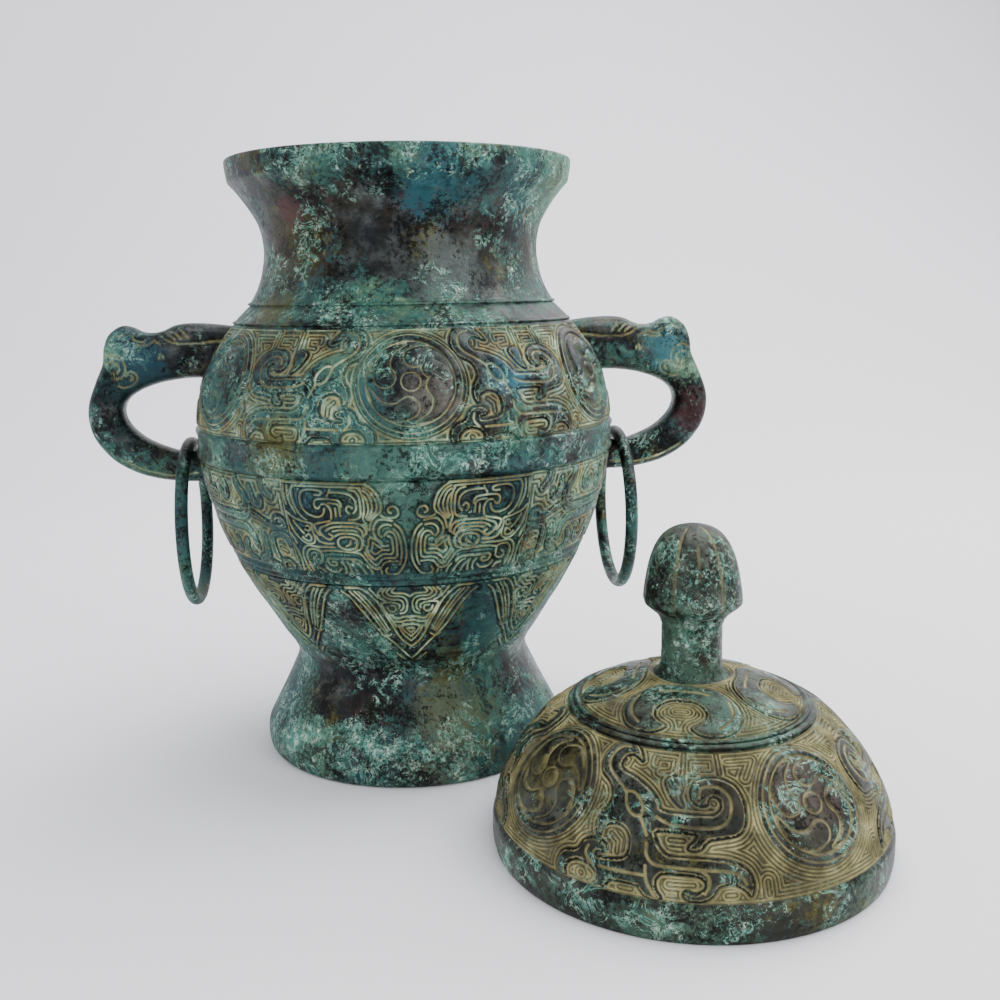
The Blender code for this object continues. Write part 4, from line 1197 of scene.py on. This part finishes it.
# The lid: a second tin bronze casting, thin like the jar, with a deep dome, a plain rim band, a
# raised moulding round its crown and a stem that carries the knob. It stands beside the jar.
lid_low, lid_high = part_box("lid")
lid_axis = Vector(((lid_low.x + lid_high.x) / 2, (lid_low.y + lid_high.y) / 2, 0.0))
DOME_SIDE = [(84.6, 14.8), (83.0, 21.4), (80.4, 28.6), (76.9, 35.6), (72.3, 42.8), (66.4, 50.0),
             (60.4, 56.2), (51.8, 61.9)]
CROWN_SIDE = [(48.4, 63.6), (43.0, 66.6), (36.0, 69.8), (25.0, 73.4), (13.0, 76.8)]

# The same tin bronze, buried in other soil: the eye sees a browner metal under a thin green film,
# with much dry olive earth in the cuts
lid_bronze = patina(
    "buried_tin_bronze_olive",
    start=8.4,
    body=[(0.32, "#191a17"), (0.50, "#2d302b"), (0.66, "#4b5048")],
    film=[(0.34, "#22382f"), (0.44, "#2f4a3e"), (0.52, "#3c5a4a"), (0.58, "#4f6a55"),
          (0.68, "#7f9c83")],
    # The last value of the next line sets how dark the black shade painted into the grooves is.
    film_share=-0.01, crust_share=0.01, earth_share=0.10, valley=0.35, groove_and_shade=0.3,
    dirt=[(0.34, "#534d32"), (0.50, "#777047"), (0.66, "#9f9769")],
    heights=[(0.0, 0.60), (0.04, 0.56), (0.08, 0.48), (0.22, 0.46), (0.30, 0.50), (0.46, 0.58)],
    bare=[(121, -146, 44, 18)],
    salts=[(104, -120, 68, 14), (60, -150, 10, 20)],
    stains_and_highlights=[((121, -146, 44, 18), "#453a35")])

# The profile runs from the stem down the outside, under the rim and up the inside
dome_top_down = smooth(DOME_SIDE)[::-1]
crown_top_down = smooth(CROWN_SIDE)[::-1]
lid_profile = np.vstack([
    [(0.0, 101.2), (12.6, 101.2), (13.4, 100.4), (13.4, 98.4), (12.8, 97.6), (12.8, 86.0),
     (13.0, 79.6), (13.6, 77.6)],
    stretch(crown_top_down, 1.2, 37.0, BED),
    bead(48.9, 63.9, 1.6, 0.9),
    bead(51.4, 62.6, 1.8, 0.9),
    stretch(dome_top_down, 1.6, 57.0, BED),
    [(84.9, 15.0), (85.3, 14.0), (85.6, 12.4), (85.6, 6.0), (85.4, 3.4), (84.7, 0.5), (84.0, 0.0)],
    [(81.3, 0.0), (80.9, 0.8), (81.6, 6.0)],
    (dome_top_down - outward(dome_top_down) * WALL)[::-2],
    (crown_top_down - outward(crown_top_down) * WALL)[::-2],
    [(0.0, 73.4)],
])
lid_body = turned("lid_body", lid_profile, lid_axis, lid_bronze)
carried(lid_body, "jar", "lid")


# The lid's belt: the shoulder's whorls and dragons again, cast with the dome, four whorls in
# place of six. Its ground of ridges is a little finer.
LID_TURN = math.radians(-66.0)
LID_START, LID_DOWN = -1.5, 1.09
LID_NOMINAL = UNIT / (math.pi / 2)
LID_PITCH = 1.45
DOME_EDGES = (2.0, 54.8)
DOME_BOSS, DOME_BOSS_RADIUS, DOME_COMMAS = 25.4, 23.2, (8, 98, 188, 282)
DOME_TRIANGLES = 165000

dome_vs = np.arange(*DOME_EDGES, GRID)
dome_drawing = dragon_belt(dome_top_down, LID_START, LID_DOWN, LID_NOMINAL, dome_vs,
                           DOME_BOSS, DOME_BOSS_RADIUS, DOME_COMMAS, LID_PITCH)
dome_belt = belt("dome_belt", dome_top_down, LID_START, LID_DOWN, LID_NOMINAL, full_us, dome_vs,
                 dome_drawing, LID_TURN, DOME_TRIANGLES, 2, lid_axis, lid_bronze)
carried(dome_belt, "jar", "lid")


# The lid's crown: four ovals round the stem, cast with the lid as smooth plates. Each is a pair
# of thick crescents about a kidney of echoing ridges that opens downwards.
OVALS = 4
OVAL_CENTRE = 51.0
CROWN_EDGES = (3.4, 37.0)
CROWN_TRIANGLES = 70000
CROWN = [
    [(-1, 6.5), (18, 6.8), (31, 8), (41, 11), (46, 17), (44.5, 25), (38, 31), (29, 35), (16, 35.2),
     (8.4, 31.6), (13, 29.6), (18, 27), (20.2, 22.8), (16.4, 18.4), (9, 16), (-1, 15.2)],
]
CROWN_SEEDS = [
    [(0.0, 22.6), (4.0, 22.8)],
]
CROWN_CUTS = [
    [(42, 18), (39, 24), (33, 28.8), (25, 32)],
    [(27, 12.6), (15, 10.8), (0, 10.4)],
]

crown_us = np.linspace(0.0, UNIT / 2, len(half_us) // 2 + 1)
crown_vs = np.arange(*CROWN_EDGES, GRID)
crown_across = across_belt(crown_top_down, crown_vs, LID_NOMINAL)
crown_plates = plates(crown_us, crown_vs, CROWN, crown_across)
crown_seeds = near_lines(crown_us, crown_vs, [pen(seed, turns=1) for seed in CROWN_SEEDS],
                         crown_across)
crown_cuts = near_lines(crown_us, crown_vs, [pen(line, CUT_HALF) for line in CROWN_CUTS],
                        crown_across, reach=2.0)
crown_ground = np.minimum.reduce([np.abs(crown_plates), np.abs(crown_seeds),
                                  edges_of(crown_vs) + 0 * crown_plates])
crown_height, crown_earth = relief(crown_plates, crown_ground, crown_cuts, LID_PITCH)
crown_belt = belt("crown_belt", crown_top_down, 0.0, 1.0, LID_NOMINAL, both_ways(crown_us),
                  crown_vs, (mirrored(edge_dip(crown_vs, crown_height)), mirrored(crown_earth)),
                  LID_TURN + OVAL_CENTRE / LID_NOMINAL, CROWN_TRIANGLES, OVALS, lid_axis,
                  lid_bronze)
carried(crown_belt, "jar", "lid")


# The knob: a solid bud of six petals cast with the lid, with a line cut between the petals and
# a shorter one down the middle of each
KNOB_SIDE = [(0.0, 139.9), (5.0, 139.4), (9.8, 137.6), (13.8, 134.2), (16.8, 129.0), (19.0, 122.0),
             (20.5, 113.6), (21.0, 109.0), (20.9, 107.2), (20.2, 106.1), (17.9, 104.2),
             (15.4, 102.1), (12.6, 99.8), (0.0, 99.6)]
KNOB_AROUND = 144
KNOB_STEPS = 10
PETALS = 6
PETAL_TURN = math.radians(8.5)
PETAL_PINCH = 0.03
SEAM_DEPTH = 0.6
SEAM_LOWEST = 104.0

knob_angles = np.linspace(0.0, 2 * np.pi, KNOB_AROUND, endpoint=False)
petal = PETALS / 2 * (knob_angles + PETAL_TURN)
knob_rows, knob_earths = [], []
for radius, height in smooth(KNOB_SIDE, KNOB_STEPS)[1:-1]:
    fullness = min(1.0, radius / 14.0)
    from_seam = np.abs(np.cos(petal)) / (PETALS / 2) * radius
    from_middle = np.abs(np.sin(petal)) / (PETALS / 2) * radius
    seam_cut = 1 - ease(from_seam, 0.15, 0.6)
    seam_cut *= ease(radius, 4.0, 7.0) * (height > SEAM_LOWEST)
    middle_cut = 1 - ease(from_middle, 0.1, 0.5)
    middle_cut *= ease(height, 118.0, 120.0) * (1 - ease(height, 132.0, 134.0))
    knob_cut = np.maximum(seam_cut, middle_cut)
    pinch = 1.0 - PETAL_PINCH * fullness * (1 - ease(np.abs(np.cos(petal)), 0.0, 0.9))
    around = max(radius, 0.05) * pinch - SEAM_DEPTH * knob_cut
    knob_rows.append(np.column_stack([around * np.sin(knob_angles) + lid_axis.x / MM,
                                      -around * np.cos(knob_angles) + lid_axis.y / MM,
                                      np.full(KNOB_AROUND, height)]))
    knob_earths.append(knob_cut)
lofted("knob", knob_rows, knob_earths, lid_bronze, "lid")
